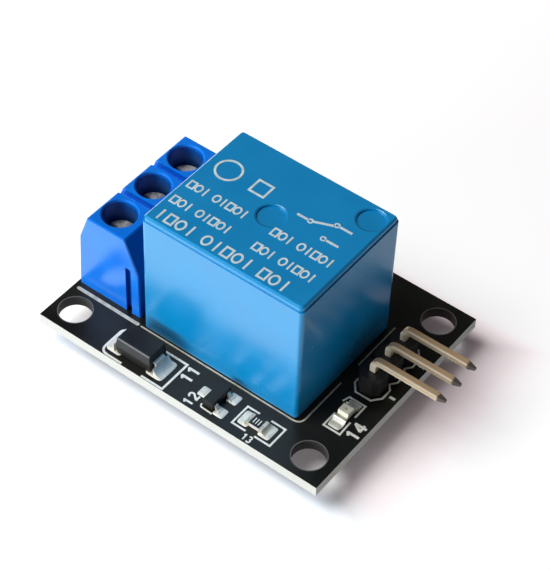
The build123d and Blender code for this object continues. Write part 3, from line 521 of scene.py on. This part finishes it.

# %% [markdown]
# ## Deep holes look darker
# Light that enters a driver hole is swallowed by the dark blue after a few bounces. The block's finish
# helps with a painted shade that grows with depth, and the deep wall is rougher too. It works only close to
# the axis of one of the three screws. Faces that look along X, towards the relay, get a painted shade as
# well, for the relay's shadow on them.

# %% Shade inside the driver holes
tree, shader, place, base, satin = reopen("terminal_plastic", "Base Color", "Roughness")
wall_radius, shade_from, shade_to = 1.95, 0.2, 2.2
hole_axis = sum(millimetres("terminal_screw_2")) / 2
from_axis = nearest(tree, place, [hole_axis + [0, k * pole_pitch, 0] for k in (-1, 0, 1)])
in_hole = calc(tree, "LESS_THAN", from_axis, wall_radius * MM)
depth_share = ramp(tree, axes(tree, place)["Z"], (block_top - shade_from) * MM, (block_top - shade_to) * MM,
                   0.0, 0.8)
deep = calc(tree, "MULTIPLY", in_hole, depth_share)
# painted shade on faces that look towards the relay
relay_facing_shade = ramp(tree, axes(tree, facing(tree))["X"], 0.3, 0.6, 0.0, 0.62)
base = blend(tree, deep, base, (0.0, 0.018, 0.07))
feed(tree, shader, {"Base Color": blend(tree, relay_facing_shade, base, (0.0, 0.03, 0.20)),
                    "Roughness": calc(tree, "ADD", satin, calc(tree, "MULTIPLY", deep, 0.4))})
print("driver holes shaded from z =", round(block_top - shade_from, 2), "mm down")

# %% [markdown]
# ## The diode's painted edge highlight
# The long edge where the diode's top meets its front catches the light as a pale line. The finish paints
# that highlight: it is lighter close to that edge, which is a line along X, so the distance to it follows
# from Y and Z alone. The transistor shares the finish, so a limit in X keeps the painted highlight to the
# diode.

# %% Painted highlight on the diode's edge
tree, shader, place, base = reopen("mould_compound", "Base Color")
_, body_high = millimetres("diode_body")
body_corners = corners_of("diode_body")
top_front = body_corners[body_corners[:, 2] > body_high[2] - 0.01][:, 1].min()
pale_to, faded_at, past_body = 0.06, 0.15, 0.5
from_edge = nearest(tree, place, [(0.0, top_front, body_high[2])], (0.0, 1.0, 1.0))
on_diode = calc(tree, "LESS_THAN", axes(tree, place)["X"], (body_high[0] + past_body) * MM)
# painted highlight along the diode's top front edge
painted_edge_highlight = calc(tree, "MULTIPLY", ramp(tree, from_edge, pale_to * MM, faded_at * MM, 0.8, 0.0), on_diode)
feed(tree, shader, {"Base Color": blend(tree, painted_edge_highlight, base, (0.26, 0.26, 0.27))})
print("diode edge at y =", round(float(top_front), 2), "z =", round(body_high[2], 2), "mm")

# %% [markdown]
# ## Two round marks on the relay
# The mould's pins left two shallow round marks in the relay's top. Their lips are a little sunk, because
# the plastic shrank as it cooled. The relay's finish adds that to its height: it rises smoothly from the
# mark's radius outwards, and the nearer of the two marks counts.

# %% Round marks on the relay
tree, _, place = reopen("relay_case")
relief = tree.nodes["Bump"].inputs["Height"]
mark_radius, lip_width, lip_rise = 1.45, 0.17, 10.0
marks_at = [(cover_low + cover_high) / 2, cover_high - [1.85, 2.2, 0.0]]
lip = ramp(tree, nearest(tree, place, marks_at), mark_radius * MM, (mark_radius + lip_width) * MM,
           0.0, lip_rise, soft=True)
tree.links.new(calc(tree, "ADD", relief.links[0].from_socket, lip), relief)
print("round marks at", [tuple(p[:2].round(2)) for p in marks_at])

# %% [markdown]
# ## Metals
# Pins of the header are flashed with gold, thin enough to look like pale straw with brown shades, and
# they are cropped after plating, so their points show dark bare metal. Screws are plated white, cages
# and tails are tinned, and solder is the brightest, with a skin that froze in soft patches.

# %% Metal finishes
metal("soft_iron", (0.62, 0.61, 0.59), (0.36, 0.35, 0.34), (1.0, 1.0, 0.1))
metal("leaf_copper", (0.80, 0.47, 0.30), (0.50, 0.27, 0.17), (0.1, 1.0, 1.0))
metal("contact_silver", (0.86, 0.85, 0.82), (0.50, 0.47, 0.42), gloss=(0.1, 0.3))
metal("tinned_copper", (0.78, 0.77, 0.75), (0.50, 0.49, 0.47), (1.0, 1.0, 0.15))
metal("cage_metal", (0.72, 0.70, 0.64), (0.42, 0.40, 0.36), (0.2, 1.0, 1.0))
metal("screw_metal", (1.0, 0.99, 0.96), (0.12, 0.11, 0.10), streaks=2600.0, spots=(1300.0, 0.9),
      gloss=(0.26, 0.45), depth=18e-6, whole=0.3)
metal("guard_metal", (0.66, 0.66, 0.65), (0.40, 0.39, 0.38), (0.1, 1.0, 1.0))
metal("lead_metal", (0.80, 0.79, 0.72), (0.52, 0.50, 0.42), streaks=2400.0, gloss=(0.36, 0.52),
      depth=6e-6, whole=0.3)
metal("cap_metal", (0.72, 0.715, 0.63), (0.34, 0.33, 0.25), streaks=9000.0, spots=(1900.0, 0.8),
      gloss=(0.38, 0.54), whole=0.25)
metal("solder", (0.90, 0.905, 0.83), (0.56, 0.56, 0.47), streaks=5200.0, spots=(1900.0, 0.6),
      gloss=(0.40, 0.56), depth=12e-6, whole=0.2)
print("finishes so far:", len(finishes))

# %% [markdown]
# ## Gold pins with cropped points
# The gold pin adds three details to the metal look. Its last millimetre, past the place where the taper
# starts, is bare and darker. The distance along X decides it, softened a little by noise so that the
# plating ends in an uneven line, as torn plating does. The side that looks up gets a painted shade, browner,
# and its edge towards low Y a painted highlight: a point there is nearly half the pin's side away from the
# pin's axis, both across and in height.

# %% Gold pin finish
_, pin_high = millimetres("header_pin_1")
pin_side, taper = 0.64, 0.95
tip_start = pin_high[0] - taper
metal("pin_gold", (0.86, 0.70, 0.48), (0.60, 0.44, 0.27), (0.06, 1.0, 1.0), streaks=5200.0,
      spots=(500.0, 0.45), gloss=(0.32, 0.46), depth=5e-6, whole=0.5)
tree, shader, place, plated = reopen("pin_gold", "Base Color")
along_pin, aside, high = axes(tree, place)
ragged = calc(tree, "ADD", along_pin, calc(tree, "MULTIPLY", noise(tree, place, 3500.0), 0.25 * MM))
bare = ramp(tree, ragged, (tip_start + 0.1) * MM, (tip_start + 0.3) * MM)
# painted shade: faces that look up are browner
looks_up = ramp(tree, axes(tree, facing(tree))["Z"], 0.55, 0.95, 0.0, 0.9)
shaded_and_highlit = blend(tree, looks_up, plated, (0.62, 0.42, 0.23))
from_middle = calc(tree, "SUBTRACT", aside, header_y * MM)
pin_axis = calc(tree, "SNAP", calc(tree, "ADD", from_middle, pin_pitch / 2 * MM), pin_pitch * MM)
beside_axis = calc(tree, "SUBTRACT", pin_axis, from_middle)
over_axis = calc(tree, "ABSOLUTE", calc(tree, "SUBTRACT", high, (pin_high[2] - pin_side / 2) * MM))
nearer = calc(tree, "MINIMUM", beside_axis, over_axis)
# painted highlight along the pin's edge towards low Y
edge_highlight = ramp(tree, nearer, 0.17 * MM, 0.27 * MM, 0.0, 0.9, soft=True)
shaded_and_highlit = blend(tree, edge_highlight, shaded_and_highlit, (1.0, 0.93, 0.77))
feed(tree, shader, {"Base Color": blend(tree, bare, shaded_and_highlit, (0.13, 0.11, 0.095))})
print("gold ends at x =", round(tip_start, 2), "mm")

# %% [markdown]
# ## Winding wire
# The winding is hundreds of turns of lacquered copper wire. At this size the turns read as fine ridges
# round the coil, so the finish makes them from the height alone: a sine with one period per turn drives
# the bump and paints shade into the valleys.

# %% Winding finish
wire_diameter = 0.08
coil_low, coil_high = millimetres("relay_coil")
tree, shader, place = new_material("coil_wire")
turns = calc(tree, "MULTIPLY", axes(tree, place)["Z"], 2 * np.pi / (wire_diameter * MM))
ridge = ramp(tree, calc(tree, "SINE", turns), -1.0, 1.0)
# painted shade in the valleys between turns
wire = blend(tree, ridge, (0.20, 0.06, 0.02), (0.66, 0.24, 0.08))
lacquer_tone = spread(tree, noise(tree, place, 700.0, 3.0), 0.0, 0.5)
feed(tree, shader, {"Base Color": blend(tree, lacquer_tone, wire, (0.42, 0.13, 0.04)),
                    "Metallic": 0.8, "Roughness": 0.32})
bump(tree, shader, ridge, 0.02 * MM)
print("turns in sight:", round((coil_high[2] - coil_low[2]) / wire_diameter))

# %% [markdown]
# ## The lamp: clear resin over a tiny chip
# The lamp's lens is a pale, slightly yellow resin, clear enough to show the chip as a dot. The finish
# lets only a little light pass, keeps a milky body colour and draws the dot itself, from the distance to
# the lens's middle in the plan.

# %% Lamp finishes
tree, shader, place = new_material("lamp_lens")
haze = spread(tree, noise(tree, place, 1800.0, 3.0), 0.0, 1.0)
resin = blend(tree, haze, (1.0, 0.96, 0.72), (1.0, 0.99, 0.86))
from_chip = nearest(tree, place, [sum(millimetres("lamp_lens")) / 2])
dot = ramp(tree, from_chip, 0.1 * MM, 0.2 * MM, 0.7, 0.0)
feed(tree, shader, {"Base Color": blend(tree, dot, resin, (0.42, 0.38, 0.20)),
                    "Roughness": spread(tree, noise(tree, place, 5200.0), 0.28, 0.42),
                    "Transmission Weight": 0.04, "IOR": 1.5})
bump(tree, shader, noise(tree, place, 2600.0), 8e-6)
plastic("lamp_chip", (0.42, 0.30, 0.06), clouds=(9000.0, 0.3), gloss=(0.2, 0.3))
print("lamp finishes made")

# %% [markdown]
# ## Put the finishes on the solid parts
# The record that came with the frame names a slot for each part. We follow it, so that no part is left
# with a plain colour.

# %% Assign the finishes
for part in frame["record"]["subparts"]:
    solid = frame["nodes"][part["node"]]
    solid.data.materials.clear()
    solid.data.materials.append(finishes[part["material_slot"]])

# %% [markdown]
# ## Printing on the board
# The white lines show where each part sits. Most are open frames with a gap where a pad or a number
# needs the room. Their places are millimetres from the middle of the four mounting holes, as on a
# maker's drawing, and each part's lines are one piece.

# %% Printed frames round the parts
ink_low, ink_high = board_top - sunk, board_top + 0.03


def board_print(name, paths, width, finish="print_ink", closed=False):
    """One printed piece: lines of one width on the board's top."""
    piece(name, [line(path, width, ink_low, ink_high, closed) for path in paths], "print_ink", finish)


diode_frame = corner_path(
    [(-4.0, -13.32), (-1.33, -13.32), (-1.33, -9.42), (-8.7, -9.42), (-9.22, -10.1), (-9.22, -13.32),
     (-6.5, -13.32)], (0, 0, 0, 0.2, 0.9), 6)
board_print("print_diode_frame", [diode_frame], 0.24)
board_print("print_resistor_frame", [[(9.35, -9.8), (11.05, -9.8), (11.05, -12.3), (9.2, -12.3)],
                                     [(8.15, -12.3), (6.5, -12.3), (6.5, -9.8), (7.95, -9.8)]], 0.2)
board_print("print_lamp_frame", [[(13.2, -3.5), (13.45, -2.7), (15.35, -2.7), (15.35, -4.45)],
                                 [(15.35, -5.2), (15.42, -7.02), (13.5, -7.02), (13.5, -5.15)]], 0.2)
hook = corner_path([(2.78, -12.3), (2.95, -12.66), (4.35, -12.71)], (0.15,))
board_print("print_transistor_corner", [hook], 0.16)

# %% [markdown]
# ## The relay's outline and the thick bar of the terminal block
# The relay's case covers most of its own outline. What peeps out is a line along the side towards the
# header, with a rounded corner and a gap, and a strip in front. The terminal block has a thick bar with
# round ends beside it. Both are printed thinner than the other lines, so their ink is greyer.

# %% Relay outline and terminal bar
plastic("thin_print", (0.58, 0.58, 0.48), clouds=(1800.0, 0.3), grain=(12000.0, 0.6), gloss=(0.45, 0.6),
        depth=3e-6)
right, front = cover_high[0] + 0.6, cover_low[1] - 0.16
relay_corner = corner_path([(right, -1.75), (right, front), (cover_low[0] - 0.3, front)], (0.95,), 8)
board_print("print_relay_outline", [relay_corner, [(right, 7.4), (right, 1.1)]], 0.17, "thin_print")
bar_y, bar_half = block_low[1] - 0.78, 0.19
bar_ends = np.vstack([arc(block_high[0] + 0.3, bar_y, bar_half, -90, 90),
                      arc(block_low[0] + 0.5, bar_y, bar_half, 90, 270)])
centre = bar_ends.mean(axis=0)
bar = rings(*centre, bar_ends - centre, [0, 1, 1, 0], [ink_low, ink_low, ink_high, ink_high])
piece("print_terminal_bar", [bar], "print_ink", "thin_print")

# %% [markdown]
# ## Outlines round the header pins
# Each pin position has an open eight-sided outline, and neighbours share the pinch between them, so the
# three together look like a chain. One eight-sided link is worked out and repeated at the pin pitch.

# %% Header chain
half_width, flat, pinch, end_half, end_reach = 1.65, 0.62, 1.14, 0.9, 1.56
right_side = [(end_half, -pin_pitch - end_reach)]
for k in (-1, 0, 1):
    right_side += [(half_width, k * pin_pitch - flat), (half_width, k * pin_pitch + flat)]
    right_side += [(pinch, (k + 0.5) * pin_pitch)] if k < 1 else [(end_half, pin_pitch + end_reach)]
chain = [(header_x + side * x, header_y + side * y) for side in (1, -1) for x, y in right_side]
board_print("print_header_chain", [chain], 0.2, closed=True)

# %% [markdown]
# ## Bare rims of the mounting holes
# The lacquer is kept back a little from each mounting hole, so a thin ring of bare laminate shows
# round it on both faces. It is a closed line on a circle, just wider than the hole.

# %% Hole rims
hole_x, hole_y, hole_radius = 14.65, 10.85, 1.75
rim_width, rim_rise = 0.09, 0.013
rim_circle = circle(64) * (hole_radius + rim_width / 2)
plastic("bare_laminate", (0.13, 0.13, 0.115), clouds=(900.0, 0.3), grain=(7000.0, 0.7), gloss=(0.5, 0.65))
rims = [line(rim_circle + [x, y], rim_width, low, high, closed=True)
        for x in (-hole_x, hole_x) for y in (-hole_y, hole_y)
        for low, high in ((board_top - sunk, board_top + rim_rise), (-rim_rise, sunk))]
piece("hole_rims", rims, "board_laminate", "bare_laminate")

# %% [markdown]
# ## Position numbers
# Each small part has a number next to it, so that a reader of the drawing can find it. A digit is a
# few pen strokes, straight runs and arcs, drawn on a box that is one unit high, then turned and placed.
# Each stroke lies two micrometres over the one before it, so that no two faces share a plane. A short
# bar marks each header pin.


# %% Digits as pen strokes
digit_strokes = {
    "1": [[(0.36, 0.0), (0.36, 1.0)], [(0.10, 0.76), (0.40, 0.98)]],
    "2": [np.vstack([arc(0.3, 0.72, 0.26, 165, -30, 10), [(0.08, 0.06)]]), [(0.0, 0.0), (0.60, 0.0)]],
    "3": [arc(0.28, 0.74, 0.24, 150, -80, 10), arc(0.28, 0.25, 0.27, 88, -150, 10)],
    "4": [[(0.46, 0.0), (0.46, 1.0)], [(0.44, 0.96), (0.04, 0.28)], [(0.0, 0.30), (0.68, 0.30)]],
}
stroke_rise, digit_pitch = 0.002, 0.85


def number(text, x, y, size, turn, width, low, high, side=1):
    """Strokes of a number, scaled to its height, turned by an angle in degrees and moved to x, y. Side
    is 1 for the top face and -1 for the underside, where print is mirrored in the plan."""
    a = np.radians(turn)
    spin = np.array([[np.cos(a), np.sin(a)], [-np.sin(a), np.cos(a)]])
    made = []
    for k, digit in enumerate(text):
        for n, stroke in enumerate(digit_strokes[digit]):
            local = (np.asarray(stroke, float) + [(k - len(text) / 2) * digit_pitch + 0.1, -0.5]) * size
            local *= [side, 1]
            rise = stroke_rise * n
            made.append(line(local @ spin + [x, y], width, low - rise * (side < 0), high + rise * (side > 0)))
    return made


places = (("11", -0.35, -10.2, 1.3, 90), ("12", 1.62, -12.5, 1.05, 90), ("13", 8.8, -12.9, 0.72, 0),
          ("14", 16.45, -5.75, 1.35, 90))
strokes = [s for text, x, y, size, turn in places
           for s in number(text, x, y, size, turn, 0.2 * size, ink_low, ink_high)]
piece("print_position_numbers", strokes, "print_ink")
pin_ys = [header_y + k * pin_pitch for k in (-1, 0, 1)]
board_print("print_pin_marks", [[(16.45, y), (17.1, y)] for y in pin_ys], 0.3)

# %% [markdown]
# ## Tinned pads
# Copper pads under the small parts are tinned and carry more solder than the joint needs, so bright
# metal shows past every lead. Each is a shallow cushion with soft corners. The pad under the lamp's
# far end is the exception: it is bare and has turned brown.

# %% Pads
pad_rim, pad_crown, thin_crown = 0.03, 0.06, 0.02
pads = {
    "pads_diode": [(-9.05, -7.2, -12.75, -9.95), (-4.05, -2.0, -12.75, -9.95)],
    "pads_transistor": [(1.62, 2.75, -11.65, -10.4), (4.3, 5.5, -10.55, -9.3), (4.3, 5.5, -12.65, -11.45)],
    "pads_resistor": [(6.75, 7.95, -11.95, -10.15), (9.2, 10.55, -11.95, -10.15)],
    "pads_lamp": [(13.72, 15.05, -6.75, -5.6)],
}
for name, boxes in pads.items():
    cushions = [cushion(*box, board_top - sunk, pad_rim, pad_crown) for box in boxes]
    piece(name, cushions, "solder", smooth=True)
metal("bare_pad", (0.42, 0.33, 0.24), (0.20, 0.15, 0.11), streaks=3000.0, gloss=(0.3, 0.5))
far_pad = cushion(13.72, 15.05, -3.95, -2.85, board_top - sunk, pad_rim, thin_crown)
piece("pad_lamp_far", [far_pad], "solder", "bare_pad", smooth=True)

# %% [markdown]
# ## Solder joints under the board
# A through joint is a surface of revolution. Its radius shrinks from the pad's edge to the pin by a
# power law: tip plus the rest times one minus the height share, raised to 2.4. That gives the hollow
# slope of solder that has wetted both metals. These smooth joints stand for the many-sided ones in the
# solid model.


# %% Solder joints
def joint(x, y, hole, pad, height=0.95, steps=12):
    """Plug in the hole, then the hollow slope down to the pin's tail, closed under it."""
    over_hole, hollow = 0.1, 2.4
    s = np.linspace(0, 1, steps)
    tip = hole + over_hole
    slope = tip + (pad - tip) * (1 - s) ** hollow
    scale = np.concatenate([[0, hole, hole, pad], slope, [tip * 0.8, 0]])
    level = np.concatenate([[board_top, board_top, 0, 0], -pad_rim - (height - pad_rim) * s,
                            [-height - 0.05, -height - 0.07]])
    return rings(x, y, circle(), scale, level)


def tail_centre(name):
    """Middle of a pin's lowest end, in the plan."""
    corners = corners_of(name)
    lowest = corners[corners[:, 2] < corners[:, 2].min() + 0.01]
    return (lowest[:, :2].max(axis=0) + lowest[:, :2].min(axis=0)) / 2


pins = {
    "solder_relay": [(f"relay_{name}", 0.75, 1.6) for name in ("common_pin", "make_strip", "break_strip")]
    + [(f"relay_coil_pin_{i}", 0.5, 1.1) for i in (1, 2)],
    "solder_terminals": [(f"terminal_cage_{i}", 0.8, 1.65) for i in (1, 2, 3)],
    "solder_header": [(f"header_pin_{i}", 0.52, 0.92) for i in (1, 2, 3)],
}
tails = {group: [tail_centre(name) for name, _, _ in some] for group, some in pins.items()}
for group, some in pins.items():
    made = [joint(*tail, hole, pad) for tail, (_, hole, pad) in zip(tails[group], some)]
    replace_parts(piece(group + "_smooth", made, "solder", smooth=True), group)

# %% [markdown]
# ## Copper tracks under the lacquer
# The copper raises the lacquer over it by a few hundredths of a millimetre, and shines through a little.
# Tracks that carry the switched current are wide, and the control tracks are narrow. They run from pin
# to pin on the underside, and none crosses another.

# %% Tracks
track_low, track_high, number_low = -0.05, sunk, -0.03
plastic("covered_copper", (0.019, 0.0175, 0.0135), clouds=(260.0, 0.2), grain=(3500.0, 0.35), wave=0.8,
        gloss=(0.26, 0.36), depth=6e-6, dust_amount=0.03, specular=0.4)
poles = tails["solder_terminals"]
common, make, broken, _, coil = tails["solder_relay"]
signal, supply, ground = tails["solder_header"]
routes = [
    ([poles[1], common], 2.6),
    ([poles[0], poles[0] + [3.0, -2.2], make - [2.0, 2.6], make], 2.0),
    ([poles[2], poles[2] + [3.0, 2.4], broken + [-2.0, 2.2], broken], 2.0),
    ([coil, coil + [1.6, -1.6], [11.6, 3.1], supply], 0.7),
    ([ground, ground + [1.4, 1.2], [15.8, 8.0]], 0.9),
    ([signal, [12.2, -2.0], [12.2, -8.6], [10.2, -10.0]], 0.5),
]
piece("tracks_under", [line(path, width, track_low, track_high) for path, width in routes],
      "board_laminate", "covered_copper")
under_numbers = [s for k, (x, y) in enumerate(poles)
                 for s in number(str(3 - k), x - 2.9, y, 1.3, 90, 0.24, number_low, sunk, side=-1)]
piece("print_under_numbers", under_numbers, "print_ink")

# %% [markdown]
# ## The white print on the relay
# The top of the relay carries rows of pale print: boxes, strokes and rings in three rows, a larger ring
# and a square above them, and the symbol of a changeover contact at the side. Every sign is a closed
# line or a stroke, so one short function draws them all, and each row repeats it at an even pitch.


# %% Relay print
def case_line(path, width, closed=False):
    """A printed line on the relay's top."""
    return line(path, width, cover_top - sunk, cover_top + 0.02, closed)


def oval(x, y, half_x, half_y, width):
    """A closed line along an ellipse."""
    return case_line(circle(40) * [half_x, half_y] + [x, y], width, closed=True)


def box_line(x0, y0, x1, y1, width):
    """A closed line along a rectangle."""
    return case_line([(x0, y0), (x1, y0), (x1, y1), (x0, y1)], width, closed=True)


def sign(kind, x, y, half, width):
    """One simple sign of a row: an open box, an upright stroke or a ring."""
    if kind == 1:
        return case_line([(x, y - half), (x, y + half)], width)
    rise = half - width / 2
    if kind == 2:
        return oval(x, y, half * 0.62, rise, width)
    side = half * 0.6
    return box_line(x - side, y - rise, x + side, y + rise, width)


plastic("case_print", (0.66, 0.79, 0.83), clouds=(1500.0, 0.2), grain=(12000.0, 0.6), gloss=(0.4, 0.5),
        depth=3e-6)
small, large = (1.1, 0.83, 0.19), (1.4, 1.2, 0.22)
rows = [(-6.9, large, ((-7.1, 4), (-1.6, 5), (5.1, 3))),
        (-4.6, small, ((-7.1, 3), (-4.1, 5), (2.7, 3), (5.7, 5))),
        (-2.05, small, ((-7.1, 3), (-4.1, 5), (2.9, 3), (5.9, 5)))]
signs = [sign((k * 2 + count) % 3, start + (k + 0.5) * pitch, y, tall / 2, width)
         for y, (tall, pitch, width), words in rows for start, count in words for k in range(count)]
piece("print_relay_rows", signs, "print_ink", "case_print")
blades = [[(3.4, 1.2), (4.7, 1.2)], [(5.25, 1.32), (7.1, 2.1)], [(7.5, 2.3), (9.0, 2.3)],
          [(7.5, 0.1), (9.0, 0.1)]]
symbol = [oval(-5.2, 1.7, 1.35, 1.35, 0.24), box_line(-2.1, 0.85, -0.4, 2.55, 0.24)]
symbol += [case_line(blade, 0.26) for blade in blades]
symbol += [oval(x, y, 0.24, 0.24, 0.16) for x, y in ((4.95, 1.2), (7.25, 2.3), (7.25, 0.1))]
piece("print_relay_marks", symbol, "print_ink", "case_print")

# %% [markdown]
# ## Marks on the chip resistor
# Three short white bars lie across the black glaze of the chip resistor. They are as thin as ink can be,
# and sit in the middle of the glaze, which we ask the frame for.

# %% Resistor marks
glaze_low, glaze_high = millimetres("resistor_glaze")
glaze_x, glaze_y, _ = (glaze_low + glaze_high) / 2
glaze_top, bar_half_length = glaze_high[2], 0.33
resistor_bars = [line([(x, glaze_y - bar_half_length), (x, glaze_y + bar_half_length)], 0.1,
                      glaze_top - 0.003, glaze_top + 0.008) for x in (glaze_x - 0.3, glaze_x, glaze_x + 0.3)]
piece("print_resistor_bars", resistor_bars, "print_ink")

# %% [markdown]
# ## Floor
# The board stands on its trimmed pins on a white table. The floor is a wide sheet with a matt finish.
# For the camera, and for mirrors and glass, some of its own light is added, so that it reads as white
# without more light falling on the board, and the shadow stays visible on it. Under the board's shaded
# side that light fades out, a painted shadow, and turns a little rosy, and in front it turns a little blue:
# painted colours of the shade. Mirrors see more of it on the lit side, a painted reflection. Far from the
# board, where the lamps hardly reach, it grows, so that a low view has a white horizon too.

# %% Floor
floor_mesh = bpy.data.meshes.new("floor")
half, table = 2.0, cad_box[0][2]
corners = [(x * half, y * half, table) for x, y in ((-1, -1), (1, -1), (1, 1), (-1, 1))]
floor_mesh.from_pydata(corners, [], [(0, 1, 2, 3)])
floor = bpy.data.objects.new("floor", floor_mesh)
bpy.context.scene.collection.objects.link(floor)
tree, shader, place = new_material("white_table")
rays = tree.nodes.new("ShaderNodeLightPath").outputs
seen = calc(tree, "MAXIMUM", rays["Is Camera Ray"], rays["Is Transmission Ray"])
across, deep, _ = axes(tree, place)
shade_left, shade_front = -8.0, -10.5
past_right = calc(tree, "SUBTRACT", across, board_high[0] * MM)
past_back = calc(tree, "MULTIPLY", calc(tree, "SUBTRACT", deep, board_high[1] * MM), 2.0)
past_left = calc(tree, "SUBTRACT", shade_left * MM, across)
past_front = calc(tree, "MULTIPLY", calc(tree, "SUBTRACT", shade_front * MM, deep), 2.5)
past = calc(tree, "MAXIMUM", past_right, past_back, past_left, past_front)
# painted shadow: the floor's own light fades out under and beside the board's shaded side
painted_shadow_glow = ramp(tree, past, -1.0 * MM, 7.2 * MM, 0.03, 0.40, soft=True)
horizon = ramp(tree, nearest(tree, place, [(0, 0, 0)], (1.0, 1.0, 1.0)), 60 * MM, 500 * MM, 0.0, 0.8)
# painted reflection: mirrors see more of the floor's light on the lit side
painted_reflection_side = ramp(tree, across, 7.0 * MM, 18.0 * MM, 1.0, 0.0)
glow = calc(tree, "ADD", calc(tree, "MULTIPLY", seen, calc(tree, "ADD", painted_shadow_glow, horizon)),
            calc(tree, "MULTIPLY", rays["Is Glossy Ray"], painted_reflection_side))
away = ramp(tree, past, 1.0 * MM, 9.0 * MM, soft=True)
in_front = ramp(tree, deep, -8.5 * MM, -13.0 * MM, soft=True)
# painted colour of the shade: rosy near the board, blue in front
tint = blend(tree, away, (1.0, 0.62, 0.72), (1.0, 0.985, 0.99))
tint = blend(tree, in_front, tint, (1.0, 1.14, 1.28))
grey_glow = add(tree, "ShaderNodeCombineColor", {"Red": glow, "Green": glow, "Blue": glow}).outputs[0]
paper = spread(tree, noise(tree, place, 60.0, 3.0), 0.985, 1.0)
feed(tree, shader, {"Base Color": blend(tree, paper, (0.81, 0.80, 0.82), (0.85, 0.85, 0.86)),
                    "Roughness": 0.9, "Specular IOR Level": 0.1, "Emission Strength": 1.0,
                    "Emission Color": blend(tree, 1.0, tint, grey_glow, "MULTIPLY")})
floor_mesh.materials.append(finishes["white_table"])
print("floor at", round(table / MM, 2), "mm")

# %% [markdown]
# ## Light
# The main light is a soft panel high on the left, so the relay throws a short soft shadow to the right
# and the face towards the camera's right stays dark. A second panel stands low in front and makes the
# front face brighter than the top. The room around is a dim even grey. Together they light a level
# surface about as bright as white paper in daylight.


# %% Lamps and room
def panel(name, place, aim, size, power, colour):
    """A soft light, so wide and so high, at a place and turned towards an aim, in metres and watts."""
    light = bpy.data.lights.new(name, "AREA")
    light.shape = "RECTANGLE"
    light.size, light.size_y = size
    light.energy, light.color = power, colour
    lamp = bpy.data.objects.new(name, light)
    lamp.location = place
    lamp.rotation_euler = (Vector(aim) - Vector(place)).to_track_quat("-Z", "Y").to_euler()
    bpy.context.scene.collection.objects.link(lamp)


panel("main_panel", (-0.240, -0.176, 0.462), (0.0, 0.0, 0.0), (0.32, 0.32), 2.5, (1.0, 0.99, 0.97))
panel("front_panel", (-0.168, -0.565, 0.075), (0.0, 0.0, 0.005), (0.34, 0.13), 2.7, (0.98, 0.99, 1.0))
room = bpy.data.worlds.new("room")
room.use_nodes = True
bpy.context.scene.world = room
tree = room.node_tree
rays = tree.nodes.new("ShaderNodeLightPath").outputs
open_air = calc(tree, "MAXIMUM", rays["Is Camera Ray"], rays["Is Transmission Ray"])
feed(tree, tree.nodes["Background"], {"Color": (1.0, 0.97, 0.97, 1.0),
                                      "Strength": ramp(tree, open_air, 0.0, 1.0, 0.10, 1.0)})

# %% [markdown]
# ## Camera
# The camera looks down from the header's corner, about 36 degrees round and 47 degrees up, with a long
# lens from twenty centimetres away. The three numbers for its place, the point it looks at and its small
# roll came from matching known sizes of the board with the picture.

# %% Camera
camera_place = Vector((76.405, -103.788, 146.347)) * MM
camera_aim = Vector((0.678, 1.900, 4.6)) * MM
camera_roll = 2.514
focal_length, sensor_height = 122.09, 36.0
lens_data = bpy.data.cameras.new("camera")
lens_data.sensor_fit = "VERTICAL"
lens_data.sensor_height = sensor_height
lens_data.lens = focal_length
lens_data.clip_start, lens_data.clip_end = 0.01, 10.0
camera = bpy.data.objects.new("camera", lens_data)
turn = (camera_aim - camera_place).to_track_quat("-Z", "Y").to_matrix()
camera.matrix_world = Matrix.Translation(camera_place) @ (
    turn @ Matrix.Rotation(np.radians(camera_roll), 3, "Z")).to_4x4()
bpy.context.scene.collection.objects.link(camera)
bpy.context.scene.camera = camera
bpy.context.scene.view_settings.view_transform = "Standard"
print("camera is", round((camera_aim - camera_place).length / MM, 1), "mm from its aim")
